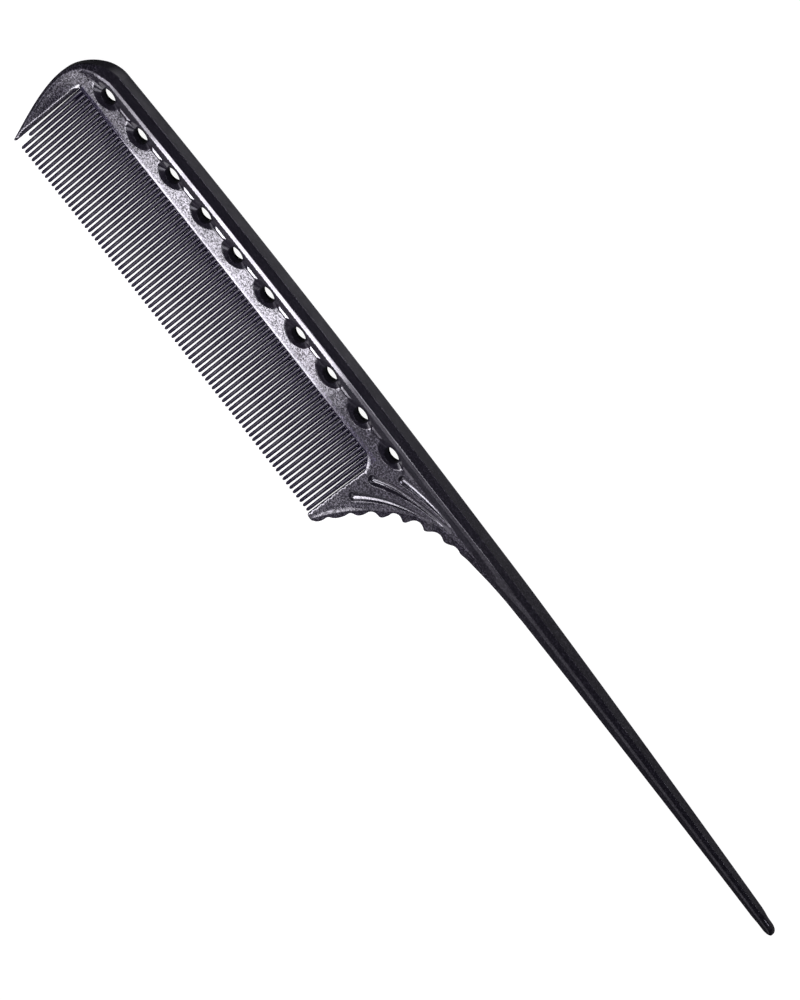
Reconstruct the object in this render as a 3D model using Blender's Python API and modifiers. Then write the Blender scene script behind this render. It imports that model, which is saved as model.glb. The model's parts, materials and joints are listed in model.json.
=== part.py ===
# Rat tail comb, one-piece moulding, modelled lying flat on its rear face.
# The moulding is divided along its own design lines into named members.
#
# Comb coordinates, millimetres: x runs from the front end to the tail tip,
# y is 0 on the crown of the back line and negative towards the teeth,
# z is 0 on the mid-plane, positive towards the front face, negative towards the rear face.
# The empty "comb_frame" moves the middle of the rear rest land to the origin.
#
# A "half" is half a thickness in z, and a "depth" is measured down from the back line.

import math

import bmesh
import bpy
from mathutils import Matrix, Vector

MM = 0.001
SEAM = 0.20                 # clearance between neighbouring members
WELD = 0.002                # vertices closer than this are joined

# ------------------------------------------------------------ back line and rib
LENGTH = 220.1              # front end to tail tip
CROWN_X = 112.3             # highest point of the back line
BACK_RADIUS_FRONT = 2095.0  # back line radius in front of the crown
BACK_RADIUS_REAR = 3420.0   # back line radius behind the crown
CORNER_X = 8.90             # where the rounded front corner meets the back line

WALL_HALF = 1.38            # back wall
CREST_HALF = 2.23           # crest of the back rib
CREST_TOP = 2.05            # depth where the crest starts
CREST_BOTTOM = 2.90         # depth where the crest ends
REST_X = 60.0               # middle of the rear rest land

# --------------------------------------------------------------------- hole web
WEB_START_X = 5.40
WEB_END_X = 103.70          # past the last hole
WEB_HALF = 1.50
WEB_DEPTH = 5.62            # depth where the flat web starts
WEB_TOP_HALF = CREST_HALF - 0.09
SADDLE_HALF = 1.75          # step under the crest, at its top
SADDLE_LOW_HALF = SADDLE_HALF - 0.03
SADDLE_TOP = 4.04
SADDLE_BOTTOM = 5.00

HOLES = 10
HOLE_PITCH = 10.0
HOLE_FIRST_X = 9.71
HOLE_DEPTH = 5.80           # depth of the hole centres
HOLE_HALF_WIDTH = 1.94      # along the comb
HOLE_HALF_HEIGHT = 1.54
HOLE_CUT_LENGTH = 8.0
BOWL_HALF_WIDTH = 3.70      # eye-shaped recess around each hole
BOWL_HALF_HEIGHT = 2.35
BOWL_SINK = 0.55            # half thickness of the bowl cutter
BOWL_DEPTH = 5.45           # depth of the bowl centres
BOWL_LIFT = 0.06            # bowl centre outside the web face

# ------------------------------------------------------------------------ teeth
ROOT_RADIUS = 3457.0        # root line: radius, crown position and height
ROOT_CROWN_X = 129.9
ROOT_CROWN_Y = -9.84
TIP_RADIUS = 5270.0         # tooth tip line
TIP_CROWN_X = 173.4
TIP_CROWN_Y = -32.0

TEETH = 86                  # full teeth, plus one short lead tooth
TOOTH_FIRST_X = 6.60        # first full tooth
PITCH_FRONT = 1.054         # tooth pitch, graduated along the comb
PITCH_REAR = 1.099
LEAN_FRONT = 0.0330         # sideways shift per millimetre down, towards the tail
LEAN_REAR = 0.0010
LEAN_LEVEL_Y = -15.7        # level where a leaning tooth is at its nominal x
TOOTH_WIDTH = 0.88          # along the comb
TOOTH_WIDTH_TIP = 0.44
TOOTH_THICKNESS = 2.30      # across the faces
TOOTH_THICKNESS_TIP = 0.95
TOOTH_OVERLAP = 0.30        # tooth starts this far above the root line
LEAD_X = TOOTH_FIRST_X - PITCH_FRONT
LEAD_TIP_Y = -31.1
LEAD_STRIP_FRONT = 0.38     # root strip in front of the lead tooth's middle

STRIP_UP = 0.90             # root strip above and below the root line
STRIP_DOWN = 0.45
STRIP_FLAT_UP = 0.50        # full thickness down to this height above the root line
STRIP_LOW_HALF = 1.22

# ----------------------------------------------------------------- front guard
TAPER_TOP_Y = -12.0         # front guard and heel start thinning here

# Bezier handles and ends (x, y) of the front outline, after its start on the back line
FRONT_CURVE = [
    (4.30, -2.55), (0.0, -8.20), (0.0, -13.80),
    (0.0, -20.50), (2.90, -28.40), (4.75, -34.40),
]
GUARD_TIP = [(5.05, -34.60), (5.36, -34.30)]
GUARD_INNER = [(4.46, -14.60), (4.50, -13.60), (4.85, -12.75)]  # side facing the teeth
GUARD_ROOT_X = WEB_START_X - 0.45
GUARD_TIP_SHARE = 0.42      # thickness left at the tip
GUARD_CHAMFER = 0.30

# -------------------------------------------------------- heel and finger grip
HEEL_INNER_X = 99.13        # inner edge of the heel
HEEL_END_X = 124.0          # heel and back rib end, tail neck starts
NECK_END_X = 141.0
HEEL_TIP = [(99.80, -32.20), (99.40, -32.20), (HEEL_INNER_X, -31.90)]
HEEL_TIP_SHARE = 0.55       # thickness left at the tip

# Bezier points (x, y), two cubics sharing their fourth point
OUTER_CURVE = [             # outside of the finger grip, on to the tail
    (100.80, -32.30), (102.70, -24.00), (108.60, -14.40), (115.80, -10.00),
    (121.50, -6.90), (130.00, -5.45), (NECK_END_X, -5.02),
]
FACE_CURVE = [              # line between heel and finger grip
    (100.00, -31.90), (102.15, -23.40), (107.00, -14.30), (113.40, -8.70),
    (119.00, -4.60), (126.50, -4.30), (NECK_END_X, -2.20),
]
HEEL_TAPER_END_Y = OUTER_CURVE[0][1]

GROOVES = [                 # fan grooves: start, middle, end, radius at each end
    ((105.0, -7.00), (111.0, -4.77), (119.4, -3.95), 0.95, 0.32),
    ((101.4, -13.10), (107.5, -7.60), (118.6, -5.25), 1.05, 0.32),
    ((101.5, -20.10), (106.0, -12.00), (115.0, -7.75), 1.10, 0.32),
]
GROOVE_STEPS = 10
GROOVE_FLATTEN = 0.55       # z scale of the groove cutters
GROOVE_LIFT = 0.05          # groove centre line outside the heel face

GRIP_HALF = 1.10            # scalloped finger grip
GRIP_PITCH = 4.85           # pitch of the finger scallops along the edge
GRIP_COUNT = 8
GRIP_DEPTH = 0.62           # depth of each scallop
GRIP_LEAD = 1.6             # plain edge before the first scallop
GRIP_POWER = 0.8            # below 1 makes a scallop fuller than a sine
GRIP_STEPS = 96
GRIP_OVERRUN = 4.0          # edge followed this far past the heel end

# ------------------------------------------------------------------------- tail
SHANK_END_X = 205.0
# tail section at full size: depth, half thickness
TAIL_SECTION = [(0.0, WALL_HALF), (1.25, 1.90), (2.10, 1.88), (4.00, 1.36), (4.55, 0.85)]
TAIL_REF_X = 150.7          # where the tail has that section
TAIL_TAPER = 0.0068         # share of the section lost per millimetre
NECK_LIP = 0.55             # height of the neck's lower bevel
NECK_MIN_STEP = 0.3         # least depth from crest to face line in the neck
TIP_ROUND = 2.4             # length of the rounded end
TIP_MID_DEPTH = 2.2         # depth the tip shrinks towards, at full size
TIP_MIN_SHARE = 0.34        # size of the blunt end face

# -------------------------------------------------------------------- materials
GRAPHITE = (0.020, 0.020, 0.024)
TOOTH_ROUGHNESS = 0.30
BODY_ROUGHNESS = 0.36


# ------------------------------------------------------------------- outlines
def mix(start, end, share):
    return start + (end - start) * share


def arc_y(x, crown_x, crown_y, radius):
    """Shallow arc, drawn as a parabola."""
    return crown_y - (x - crown_x) ** 2 / (2.0 * radius)


def back_y(x):
    return arc_y(x, CROWN_X, 0.0, BACK_RADIUS_FRONT if x < CROWN_X else BACK_RADIUS_REAR)


def root_y(x):
    return arc_y(x, ROOT_CROWN_X, ROOT_CROWN_Y, ROOT_RADIUS)


def tip_y(x):
    return arc_y(x, TIP_CROWN_X, TIP_CROWN_Y, TIP_RADIUS)


def cubic_chain(points, counts):
    """Joined cubic Beziers, each with its own number of steps."""
    points = [Vector(point) for point in points]
    line = [points[0]]
    for k, count in enumerate(counts):
        start, handle_1, handle_2, end = points[3 * k:3 * k + 4]
        for i in range(1, count + 1):
            t = i / count
            rest = 1.0 - t
            line.append(start * rest ** 3 + handle_1 * 3 * rest * rest * t
                        + handle_2 * 3 * rest * t * t + end * t ** 3)
    return line


def quadratic(start, handle, end, count):
    line = []
    for i in range(count + 1):
        t = i / count
        rest = 1.0 - t
        line.append(Vector(start) * rest * rest + Vector(handle) * 2 * rest * t
                    + Vector(end) * t * t)
    return line


def spaced(start, end, step):
    """Even stations from start to end, about step apart."""
    count = max(1, int(round((end - start) / step)))
    return [start + (end - start) * i / count for i in range(count + 1)]


def y_at(line, x):
    """Height of a line at x, which must lie within it."""
    for a, b in zip(line, line[1:]):
        if a.x <= x <= b.x:
            return a.y + (b.y - a.y) * (x - a.x) / (b.x - a.x)


def outer_edge():
    return cubic_chain(OUTER_CURVE, (40, 30))


def face_edge():
    return cubic_chain(FACE_CURVE, (20, 20))


def taper_at(y, end_y, end_share):
    """Thickness share at y, falling from 1 at TAPER_TOP_Y to end_share at end_y."""
    t = min(1.0, max(0.0, (TAPER_TOP_Y - y) / (TAPER_TOP_Y - end_y)))
    return 1.0 + (end_share - 1.0) * t


# ------------------------------------------------------------------ mesh tools
def clear_scene():
    for obj in list(bpy.data.objects):
        bpy.data.objects.remove(obj, do_unlink=True)
    for collection in list(bpy.data.collections):
        bpy.data.collections.remove(collection)


def new_collection(name):
    collection = bpy.data.collections.new(name)
    bpy.context.scene.collection.children.link(collection)
    return collection


def add_object(name, data, collection):
    obj = bpy.data.objects.new(name, data)
    collection.objects.link(obj)
    return obj


def add_bmesh(name, bm, collection):
    """Turn a finished bmesh into an object and free it."""
    mesh = bpy.data.meshes.new(name)
    bm.to_mesh(mesh)
    bm.free()
    return add_object(name, mesh, collection)


def weld(bm):
    bmesh.ops.remove_doubles(bm, verts=bm.verts, dist=WELD * MM)
    bmesh.ops.recalc_face_normals(bm, faces=bm.faces)


def add_poly_spline(curve, points):
    spline = curve.splines.new("POLY")
    spline.points.add(len(points) - 1)
    for point, (x, y) in zip(spline.points, points):
        point.co = (x * MM, y * MM, 0.0, 1.0)
    return spline


def from_curve(name, curve, collection):
    """Mesh object made from the curve, its caps welded."""
    curve_obj = add_object(curve.name, curve, collection)
    depsgraph = bpy.context.evaluated_depsgraph_get()
    mesh = bpy.data.meshes.new_from_object(curve_obj.evaluated_get(depsgraph))
    bm = bmesh.new()
    bm.from_mesh(mesh)
    weld(bm)
    bm.to_mesh(mesh)
    bm.free()
    mesh.name = name
    bpy.data.objects.remove(curve_obj, do_unlink=True)
    return add_object(name, mesh, collection)


def plate(name, outline, half, collection):
    """A flat outline, filled and extruded to both sides of the mid-plane."""
    curve = bpy.data.curves.new(name + "_outline", "CURVE")
    curve.dimensions = "2D"
    curve.fill_mode = "BOTH"
    curve.extrude = half * MM
    add_poly_spline(curve, outline).use_cyclic_u = True
    return from_curve(name, curve, collection)


def tube(name, points, radii, flatten, collection):
    """A tapered tube along points, flattened in z."""
    curve = bpy.data.curves.new(name + "_path", "CURVE")
    curve.dimensions = "3D"
    curve.bevel_depth = MM
    curve.bevel_resolution = 2
    curve.use_fill_caps = True
    spline = add_poly_spline(curve, points)
    for point, radius in zip(spline.points, radii):
        point.radius = radius
    obj = from_curve(name, curve, collection)
    for vertex in obj.data.vertices:
        vertex.co.z *= flatten
    return obj


def loft(name, sections, collection):
    """Closed solid through unlike sections, each a ring of (x, y, z)."""
    bm = bmesh.new()
    rings = [[bm.verts.new((x * MM, y * MM, z * MM)) for x, y, z in section]
             for section in sections]
    count = len(rings[0])
    for ring, following in zip(rings, rings[1:]):
        for i in range(count):
            j = (i + 1) % count
            bm.faces.new((ring[i], ring[j], following[j], following[i]))
    bm.faces.new(rings[0])
    bm.faces.new(list(reversed(rings[-1])))
    bmesh.ops.recalc_face_normals(bm, faces=bm.faces)
    return add_bmesh(name, bm, collection)


def mirrored(x, top_y, profile):
    """Ring at x from a profile of (depth below top_y, half thickness)."""
    front = [(x, top_y - depth, half) for depth, half in profile]
    return front + [(x, y, -z) for x, y, z in reversed(front)]


def taper_tips(obj, end_y, end_share):
    for vertex in obj.data.vertices:
        vertex.co.z *= taper_at(vertex.co.y / MM, end_y, end_share)


def boolean(obj, tool, operation):
    """Cut or join obj with the tool, which is hidden from renders."""
    tool.hide_render = True
    tool.display_type = "WIRE"
    modifier = obj.modifiers.new(operation.lower(), "BOOLEAN")
    modifier.operation = operation
    modifier.solver = "EXACT"
    modifier.object = tool


def plastic(name, colour, roughness):
    material = bpy.data.materials.new(name)
    material.use_nodes = True
    shader = material.node_tree.nodes["Principled BSDF"]
    shader.inputs["Base Color"].default_value = (*colour, 1.0)
    shader.inputs["Roughness"].default_value = roughness
    shader.inputs["Metallic"].default_value = 0.0
    material.diffuse_color = (*colour, 1.0)
    return material


# -------------------------------------------------------------------- members
def make_back_rib(members):
    """Thick rib along the back of the head: flat back wall, bevels, crest."""
    profile = [(0.0, WALL_HALF), (CREST_TOP, CREST_HALF), (CREST_BOTTOM, CREST_HALF)]
    sections = [mirrored(x, back_y(x), profile)
                for x in spaced(CORNER_X, HEEL_END_X - SEAM, step=5.0)]
    return loft("back_rib", sections, members)


def hole_stations():
    """x of each hole with the back line height there."""
    for i in range(HOLES):
        x = HOLE_FIRST_X + HOLE_PITCH * i
        yield x, back_y(x)


def add_bowl(bm, centre):
    """Eye-shaped solid of revolution about x, flattened in z."""
    profile = []
    steps = 6
    for k in range(steps + 1):
        t = -1.0 + 2.0 * k / steps
        radius = BOWL_HALF_HEIGHT * (1.0 - t * t)
        profile.append(bm.verts.new((BOWL_HALF_WIDTH * t * MM, radius * MM, 0.0)))
    edges = [bm.edges.new(pair) for pair in zip(profile, profile[1:])]
    bmesh.ops.spin(bm, geom=profile + edges, cent=(0, 0, 0), axis=(1, 0, 0),
                   angle=math.tau, steps=12, use_merge=False)
    # bowls already in place are tagged
    fresh = [vert for vert in bm.verts if not vert.tag]
    place = (Matrix.Translation(Vector(centre) * MM)
             @ Matrix.Diagonal((1.0, 1.0, BOWL_SINK / BOWL_HALF_HEIGHT, 1.0)))
    bmesh.ops.transform(bm, matrix=place, verts=fresh)
    for vert in fresh:
        vert.tag = True


def make_bowl_cutter(tools):
    bm = bmesh.new()
    for x, top_y in hole_stations():
        for side in (-1.0, 1.0):
            add_bowl(bm, (x, top_y - BOWL_DEPTH, side * (WEB_HALF + BOWL_LIFT)))
    weld(bm)
    return add_bmesh("bowl_cutter", bm, tools)


def make_hole_cutter(tools):
    bm = bmesh.new()
    for x, top_y in hole_stations():
        made = bmesh.ops.create_cone(bm, cap_ends=True, segments=24, radius1=MM, radius2=MM,
                                     depth=HOLE_CUT_LENGTH * MM)
        place = (Matrix.Translation(Vector((x, top_y - HOLE_DEPTH, 0.0)) * MM)
                 @ Matrix.Diagonal((HOLE_HALF_WIDTH, HOLE_HALF_HEIGHT, 1.0, 1.0)))
        bmesh.ops.transform(bm, verts=made["verts"], matrix=place)
    return add_bmesh("hole_cutter", bm, tools)


def make_hole_web(members, tools):
    """Perforated web under the crest, through holes in eye-shaped bowls."""
    sections = []
    for x in spaced(WEB_START_X + SEAM, WEB_END_X - SEAM, step=5.0):
        top_y = back_y(x)
        bottom = top_y - (root_y(x) + STRIP_UP + SEAM)
        sections.append(mirrored(x, top_y, [
            (CREST_BOTTOM + SEAM, WEB_TOP_HALF), (SADDLE_TOP, SADDLE_HALF),
            (SADDLE_BOTTOM, SADDLE_LOW_HALF), (WEB_DEPTH, WEB_HALF), (bottom, WEB_HALF)]))
    web = loft("hole_web", sections, members)
    boolean(web, make_bowl_cutter(tools), "DIFFERENCE")
    boolean(web, make_hole_cutter(tools), "DIFFERENCE")
    return web


def full_teeth():
    """(x, lean, tip y) of every full tooth; the pitch grows evenly."""
    teeth = []
    x = TOOTH_FIRST_X
    for i in range(TEETH):
        share = i / (TEETH - 1)
        teeth.append((x, mix(LEAN_FRONT, LEAN_REAR, share), tip_y(x)))
        x += mix(PITCH_FRONT, PITCH_REAR, share)
    return teeth


def add_tooth(bm, tooth_x, lean, end_y):
    """One tapered tooth from inside the root strip to its tip."""
    top = root_y(tooth_x) + TOOTH_OVERLAP
    length = top - end_y
    made = bmesh.ops.create_cone(bm, cap_ends=True, segments=8, radius1=1.0,
                                 radius2=1.0, depth=1.0)
    for vert in made["verts"]:
        t = 0.5 - vert.co.z                   # 0 at the root, 1 at the tip
        width = mix(TOOTH_WIDTH, TOOTH_WIDTH_TIP, t)
        thickness = mix(TOOTH_THICKNESS, TOOTH_THICKNESS_TIP, t)
        y = top - length * t
        x = tooth_x + lean * (LEAN_LEVEL_Y - y) + vert.co.x * 0.5 * width
        vert.co = Vector((x, y, vert.co.y * 0.5 * thickness)) * MM


def make_tooth_row(name, start_x, end_x, teeth, members, tools):
    """Root strip from start_x to end_x with its teeth."""
    profile = [(-STRIP_UP, WEB_HALF), (-STRIP_FLAT_UP, WEB_HALF), (STRIP_DOWN, STRIP_LOW_HALF)]
    sections = [mirrored(x, root_y(x), profile) for x in spaced(start_x, end_x, step=4.0)]
    row = loft(name, sections, members)
    bm = bmesh.new()
    for x, lean, end_y in teeth:
        add_tooth(bm, x, lean, end_y)
    bmesh.ops.recalc_face_normals(bm, faces=bm.faces)
    boolean(row, add_bmesh(name + "_teeth", bm, tools), "UNION")
    return row


def make_lead_tooth(members, tools):
    """Short tooth in front of the full ones."""
    return make_tooth_row("lead_tooth", LEAD_X - LEAD_STRIP_FRONT,
                          LEAD_X + 0.5 * PITCH_FRONT - 0.5 * SEAM,
                          [(LEAD_X, LEAN_FRONT, LEAD_TIP_Y)], members, tools)


def make_full_rows(members, tools):
    """The full teeth in three rows; the last takes the remainder."""
    teeth = full_teeth()
    third = TEETH // 3
    spans = [("front", 0, third), ("middle", third, 2 * third), ("rear", 2 * third, TEETH)]
    rows = []
    for place, first, stop in spans:
        group = teeth[first:stop]
        start_x = group[0][0] - 0.5 * PITCH_FRONT + 0.5 * SEAM
        end_x = group[-1][0] + 0.5 * PITCH_REAR - 0.5 * SEAM
        rows.append(make_tooth_row("tooth_row_" + place, start_x, end_x, group, members, tools))
    return rows


def make_front_guard(members):
    """Rounded front end with its guard tooth."""
    corner = (CORNER_X - SEAM, back_y(CORNER_X))
    root = root_y(GUARD_ROOT_X)
    strip_top = root + STRIP_UP + SEAM
    outline = [tuple(point) for point in cubic_chain([corner] + FRONT_CURVE, (16, 16))]
    outline += GUARD_TIP + GUARD_INNER
    outline += [
        (GUARD_ROOT_X, root - STRIP_DOWN),
        (GUARD_ROOT_X, strip_top),
        (WEB_START_X, strip_top),
        (WEB_START_X, back_y(WEB_START_X) - CREST_BOTTOM),
        (corner[0], corner[1] - CREST_BOTTOM),
    ]
    guard = plate("front_guard", outline, WEB_HALF, members)
    taper_tips(guard, GUARD_TIP[0][1], GUARD_TIP_SHARE)
    bevel = guard.modifiers.new("edge_rounding", "BEVEL")
    bevel.width = GUARD_CHAMFER * MM
    bevel.segments = 1
    bevel.limit_method = "ANGLE"
    bevel.angle_limit = math.radians(40)
    return guard


def cut_groove(heel, number, groove, tools):
    """One fan groove in each face, following the heel's taper."""
    start, middle, end, start_radius, end_radius = groove
    line = quadratic(start, middle, end, GROOVE_STEPS)
    radii = [start_radius + (end_radius - start_radius) * k / GROOVE_STEPS
             for k in range(GROOVE_STEPS + 1)]
    nose = (line[0] - line[1]).normalized()
    for degrees in (30, 55, 78):              # rounded head end of the groove
        angle = math.radians(degrees)
        line.insert(0, Vector(start) + nose * start_radius * math.sin(angle))
        radii.insert(0, start_radius * math.cos(angle))
    for side, face_name in ((1.0, "front"), (-1.0, "rear")):
        tool = tube("groove_%d_%s" % (number, face_name), line, radii, GROOVE_FLATTEN, tools)
        for vertex in tool.data.vertices:
            share = taper_at(vertex.co.y / MM, HEEL_TAPER_END_Y, HEEL_TIP_SHARE)
            vertex.co.z += side * (WEB_HALF + GROOVE_LIFT) * share * MM
        boolean(heel, tool, "DIFFERENCE")


def make_heel(members, tools):
    """Heel behind the teeth, with fan grooves in each face."""
    end_x = HEEL_END_X - SEAM
    face = face_edge()
    outline = [(x, back_y(x) - CREST_BOTTOM - SEAM) for x in spaced(WEB_END_X, end_x, step=4.0)]
    outline.append((end_x, y_at(face, end_x)))
    outline += [tuple(point) for point in reversed(face) if point.x < HEEL_END_X - 1.5]
    outline += HEEL_TIP
    outline += [(x, root_y(x) + STRIP_UP) for x in (HEEL_INNER_X, WEB_END_X)]
    heel = plate("heel_guard", outline, WEB_HALF, members)
    taper_tips(heel, HEEL_TAPER_END_Y, HEEL_TIP_SHARE)
    for number, groove in enumerate(GROOVES, start=1):
        cut_groove(heel, number, groove, tools)
    return heel


def scalloped_edge():
    """Outer edge up to the heel end, resampled evenly, with the scallops cut in."""
    outer = [point for point in outer_edge() if point.x <= HEEL_END_X + GRIP_OVERRUN]
    walked = [0.0]                            # length along the edge at each point
    for a, b in zip(outer, outer[1:]):
        walked.append(walked[-1] + (b - a).length)
    edge = []
    for k in range(GRIP_STEPS + 1):
        distance = walked[-1] * k / GRIP_STEPS
        i = max(j for j in range(len(walked) - 1) if walked[j] <= distance + 1e-9)
        t = (distance - walked[i]) / (walked[i + 1] - walked[i])
        along = (outer[i + 1] - outer[i]).normalized()
        inward = Vector((-along.y, along.x))
        phase = (distance - GRIP_LEAD) / GRIP_PITCH
        cut = 0.0
        if 0.0 <= phase <= GRIP_COUNT - 0.5:
            cut = GRIP_DEPTH * math.sin(math.pi * (phase % 1.0)) ** GRIP_POWER
        point = outer[i].lerp(outer[i + 1], t) + inward * cut
        if point.x <= HEEL_END_X - SEAM:
            edge.append(point)
    return edge


def make_finger_grip(members):
    """Scalloped edge along the outside of the heel, for the finger."""
    whole_face = face_edge()
    face = [point for point in whole_face if point.x < HEEL_END_X - 1.0]
    inner = []
    for a, b in zip(face, face[1:]):
        along = (b - a).normalized()
        inner.append(a + Vector((along.y, -along.x)) * SEAM)
    inner.append(Vector((HEEL_END_X - SEAM, y_at(whole_face, HEEL_END_X) - SEAM)))
    outline = [tuple(point) for point in scalloped_edge() + inner[::-1]]
    grip = plate("finger_grip", outline, GRIP_HALF, members)
    taper_tips(grip, HEEL_TAPER_END_Y, HEEL_TIP_SHARE)
    return grip


def tail_scale(x):
    return 1.0 - TAIL_TAPER * (x - TAIL_REF_X)


def make_tail_neck(members):
    """Blend from the heel's section to the tail's section."""
    outer = outer_edge()
    face = face_edge()
    wall, tail_crest, tail_face, tail_lip, tail_edge = TAIL_SECTION
    sections = []
    for x in spaced(HEEL_END_X, NECK_END_X - SEAM, step=2.4):
        t = (x - HEEL_END_X) / (NECK_END_X - HEEL_END_X)
        scale = mix(1.0, tail_scale(x), t)
        top_y = back_y(x)
        face_depth = top_y - y_at(face, x)
        outer_depth = top_y - y_at(outer, x)
        crest_depth = mix(CREST_TOP, tail_crest[0] * scale, t)
        face_depth = mix(max(face_depth, crest_depth + NECK_MIN_STEP), tail_face[0] * scale, t)
        sections.append(mirrored(x, top_y, [
            (0.0, wall[1] * scale),
            (crest_depth, mix(CREST_HALF, tail_crest[1] * scale, t)),
            (face_depth, mix(WEB_HALF, tail_face[1] * scale, t)),
            (outer_depth - NECK_LIP, mix(GRIP_HALF, tail_lip[1] * scale, t)),
            (outer_depth, tail_edge[1] * scale)]))
    return loft("tail_neck", sections, members)


def make_tail_shank(members):
    """Long tapering part of the tail."""
    sections = []
    for x in spaced(NECK_END_X, SHANK_END_X - SEAM, step=8.0):
        scale = tail_scale(x)
        profile = [(depth * scale, half * scale) for depth, half in TAIL_SECTION]
        sections.append(mirrored(x, back_y(x), profile))
    return loft("tail_shank", sections, members)


def make_tail_tip(members):
    """Last of the tail, drawn in to a blunt rounded end."""
    round_x = LENGTH - TIP_ROUND
    stations = spaced(SHANK_END_X, round_x, step=4.3)
    stations += [LENGTH - TIP_ROUND * math.cos(math.radians(a)) for a in (20, 40, 60, 78)]
    stations.append(LENGTH)
    sections = []
    for x in stations:
        scale = tail_scale(x)
        over = max(0.0, (x - round_x) / TIP_ROUND)
        shrink = max(TIP_MIN_SHARE, math.sqrt(max(0.0, 1.0 - over ** 2)))
        middle = TIP_MID_DEPTH * scale
        profile = [(middle + (depth * scale - middle) * shrink, half * scale * shrink)
                   for depth, half in TAIL_SECTION]
        sections.append(mirrored(x, back_y(x), profile))
    return loft("tail_tip", sections, members)


# ---------------------------------------------------------------------- build
def make_frame(collection):
    frame = add_object("comb_frame", None, collection)
    rest_y = back_y(REST_X) - 0.5 * (CREST_TOP + CREST_BOTTOM)
    frame.location = Vector((-REST_X, -rest_y, CREST_HALF)) * MM
    return frame


def build():
    clear_scene()
    members = new_collection("rat_tail_comb")
    tools = new_collection("cutters")

    pieces = [
        make_back_rib(members),
        make_hole_web(members, tools),
        make_front_guard(members),
        make_lead_tooth(members, tools),
        *make_full_rows(members, tools),
        make_heel(members, tools),
        make_finger_grip(members),
        make_tail_neck(members),
    ]
    tail = [make_tail_shank(members), make_tail_tip(members)]
    for piece in tail:
        piece.data.shade_smooth()
        piece.data.set_sharp_from_angle(angle=math.radians(35))

    frame = make_frame(members)
    for piece in pieces + tail:
        toothed = piece.name.startswith(("tooth", "lead"))
        roughness = TOOTH_ROUGHNESS if toothed else BODY_ROUGHNESS
        piece.data.materials.append(plastic("graphite_" + piece.name, GRAPHITE, roughness))
        piece.parent = frame
    for tool in tools.objects:
        tool.parent = frame
    bpy.context.view_layer.update()


build()
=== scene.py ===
# Rat tail comb lying flat on a pale floor, with its lights and camera.
#
# Comb coordinates, millimetres: x from the front end to the tail tip, y is 0 on the
# crown of the back line and negative towards the teeth, z is 0 on the mid-plane.
# Every flat member is a closed mesh: an upper surface z = height(x, y), its mirror
# image underneath, and walls round its outline. Teeth are lofted ring by ring.
# The floor, lights and camera are in world metres: x along the comb, z up.

import json
import math
from collections import Counter

import bmesh
import bpy
import numpy as np
from mathutils import Matrix, Vector
from mathutils.geometry import delaunay_2d_cdt

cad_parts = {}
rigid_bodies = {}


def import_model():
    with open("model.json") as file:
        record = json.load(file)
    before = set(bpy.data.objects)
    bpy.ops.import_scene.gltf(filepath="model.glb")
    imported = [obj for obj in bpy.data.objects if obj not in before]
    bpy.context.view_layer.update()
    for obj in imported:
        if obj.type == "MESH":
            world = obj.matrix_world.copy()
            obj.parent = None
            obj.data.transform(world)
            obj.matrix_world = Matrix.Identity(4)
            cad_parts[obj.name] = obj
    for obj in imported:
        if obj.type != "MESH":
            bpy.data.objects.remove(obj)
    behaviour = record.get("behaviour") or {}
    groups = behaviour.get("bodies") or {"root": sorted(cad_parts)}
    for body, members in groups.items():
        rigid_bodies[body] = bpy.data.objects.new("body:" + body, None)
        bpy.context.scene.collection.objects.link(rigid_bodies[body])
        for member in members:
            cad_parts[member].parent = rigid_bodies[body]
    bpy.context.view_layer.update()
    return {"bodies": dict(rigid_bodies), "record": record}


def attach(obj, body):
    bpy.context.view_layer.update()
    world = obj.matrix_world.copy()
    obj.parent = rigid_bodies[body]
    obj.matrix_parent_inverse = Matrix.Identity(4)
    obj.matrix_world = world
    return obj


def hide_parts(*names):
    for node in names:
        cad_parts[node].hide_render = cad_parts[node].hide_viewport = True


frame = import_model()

MM = 0.001

# ---------------------------------------------------------------- dimensions
LENGTH = 220.1
CROWN_X = 112.3                             # highest point of the back line
BACK_R_FRONT, BACK_R_REAR = 2095.0, 3420.0  # back line radii before and after the crown
REST_X, CREST_MID, CREST_HALF = 60.0, 2.475, 2.23  # world origin: x, depth, height of mid-plane
CORNER_X = 8.90            # the front guard meets the back line
SEAM_D = 3.00              # rib ends, web starts: depth below the back line
WEB_X0, WEB_X1 = 5.50, 103.70
LEAD_X0 = 4.95             # front end of the root strip
HEEL_IN = 98.66            # inner edge of the heel, rear end of the root strip
HEEL_X1, NECK_X1, SHANK_X1 = 124.0, 141.0, 205.0   # rear ends of heel, neck and shank
STRIP_UP, STRIP_DN = 0.90, 0.45            # root strip above and below the root line
FILLET_X, FILLET_R = 95.7, 2.96            # fillet of the root line at the heel
TAIL_DEPTH, TAIL_FACE = 4.55, 2.10         # tail: full depth, depth of the face edge
TAIL_ROUND = 2.1                           # length of the tail's rounded end

HOLES, HOLE_PITCH, HOLE_X0 = 10, 10.0, 9.71
HOLE_DEPTH, HOLE_DRIFT = 5.51, 0.03        # depth of the first hole, extra for each next one
HOLE_RX, HOLE_RY, HOLE_RIM = 1.70, 1.55, 0.20
HOLE_SCALE = 1.60                          # mm for one unit of hole_ratio
# superelliptic bowl round each hole: half width, reach up and down, depth, x shift, exponent
BOWL_RX, BOWL_UP, BOWL_DN, BOWL_DEPTH, BOWL_SHIFT, BOWL_N = 3.86, 1.66, 2.58, 5.55, -0.26, 1.65

TEETH, TOOTH_X0 = 86, 6.60
PITCH_FRONT, PITCH_REAR = 1.054, 1.099
LEAN_FRONT, LEAN_REAR = 0.0330, 0.0010     # x shift per mm below LEAN_Y
LEAN_Y = -15.7
LEAD_TIP_Y = -31.1


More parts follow.
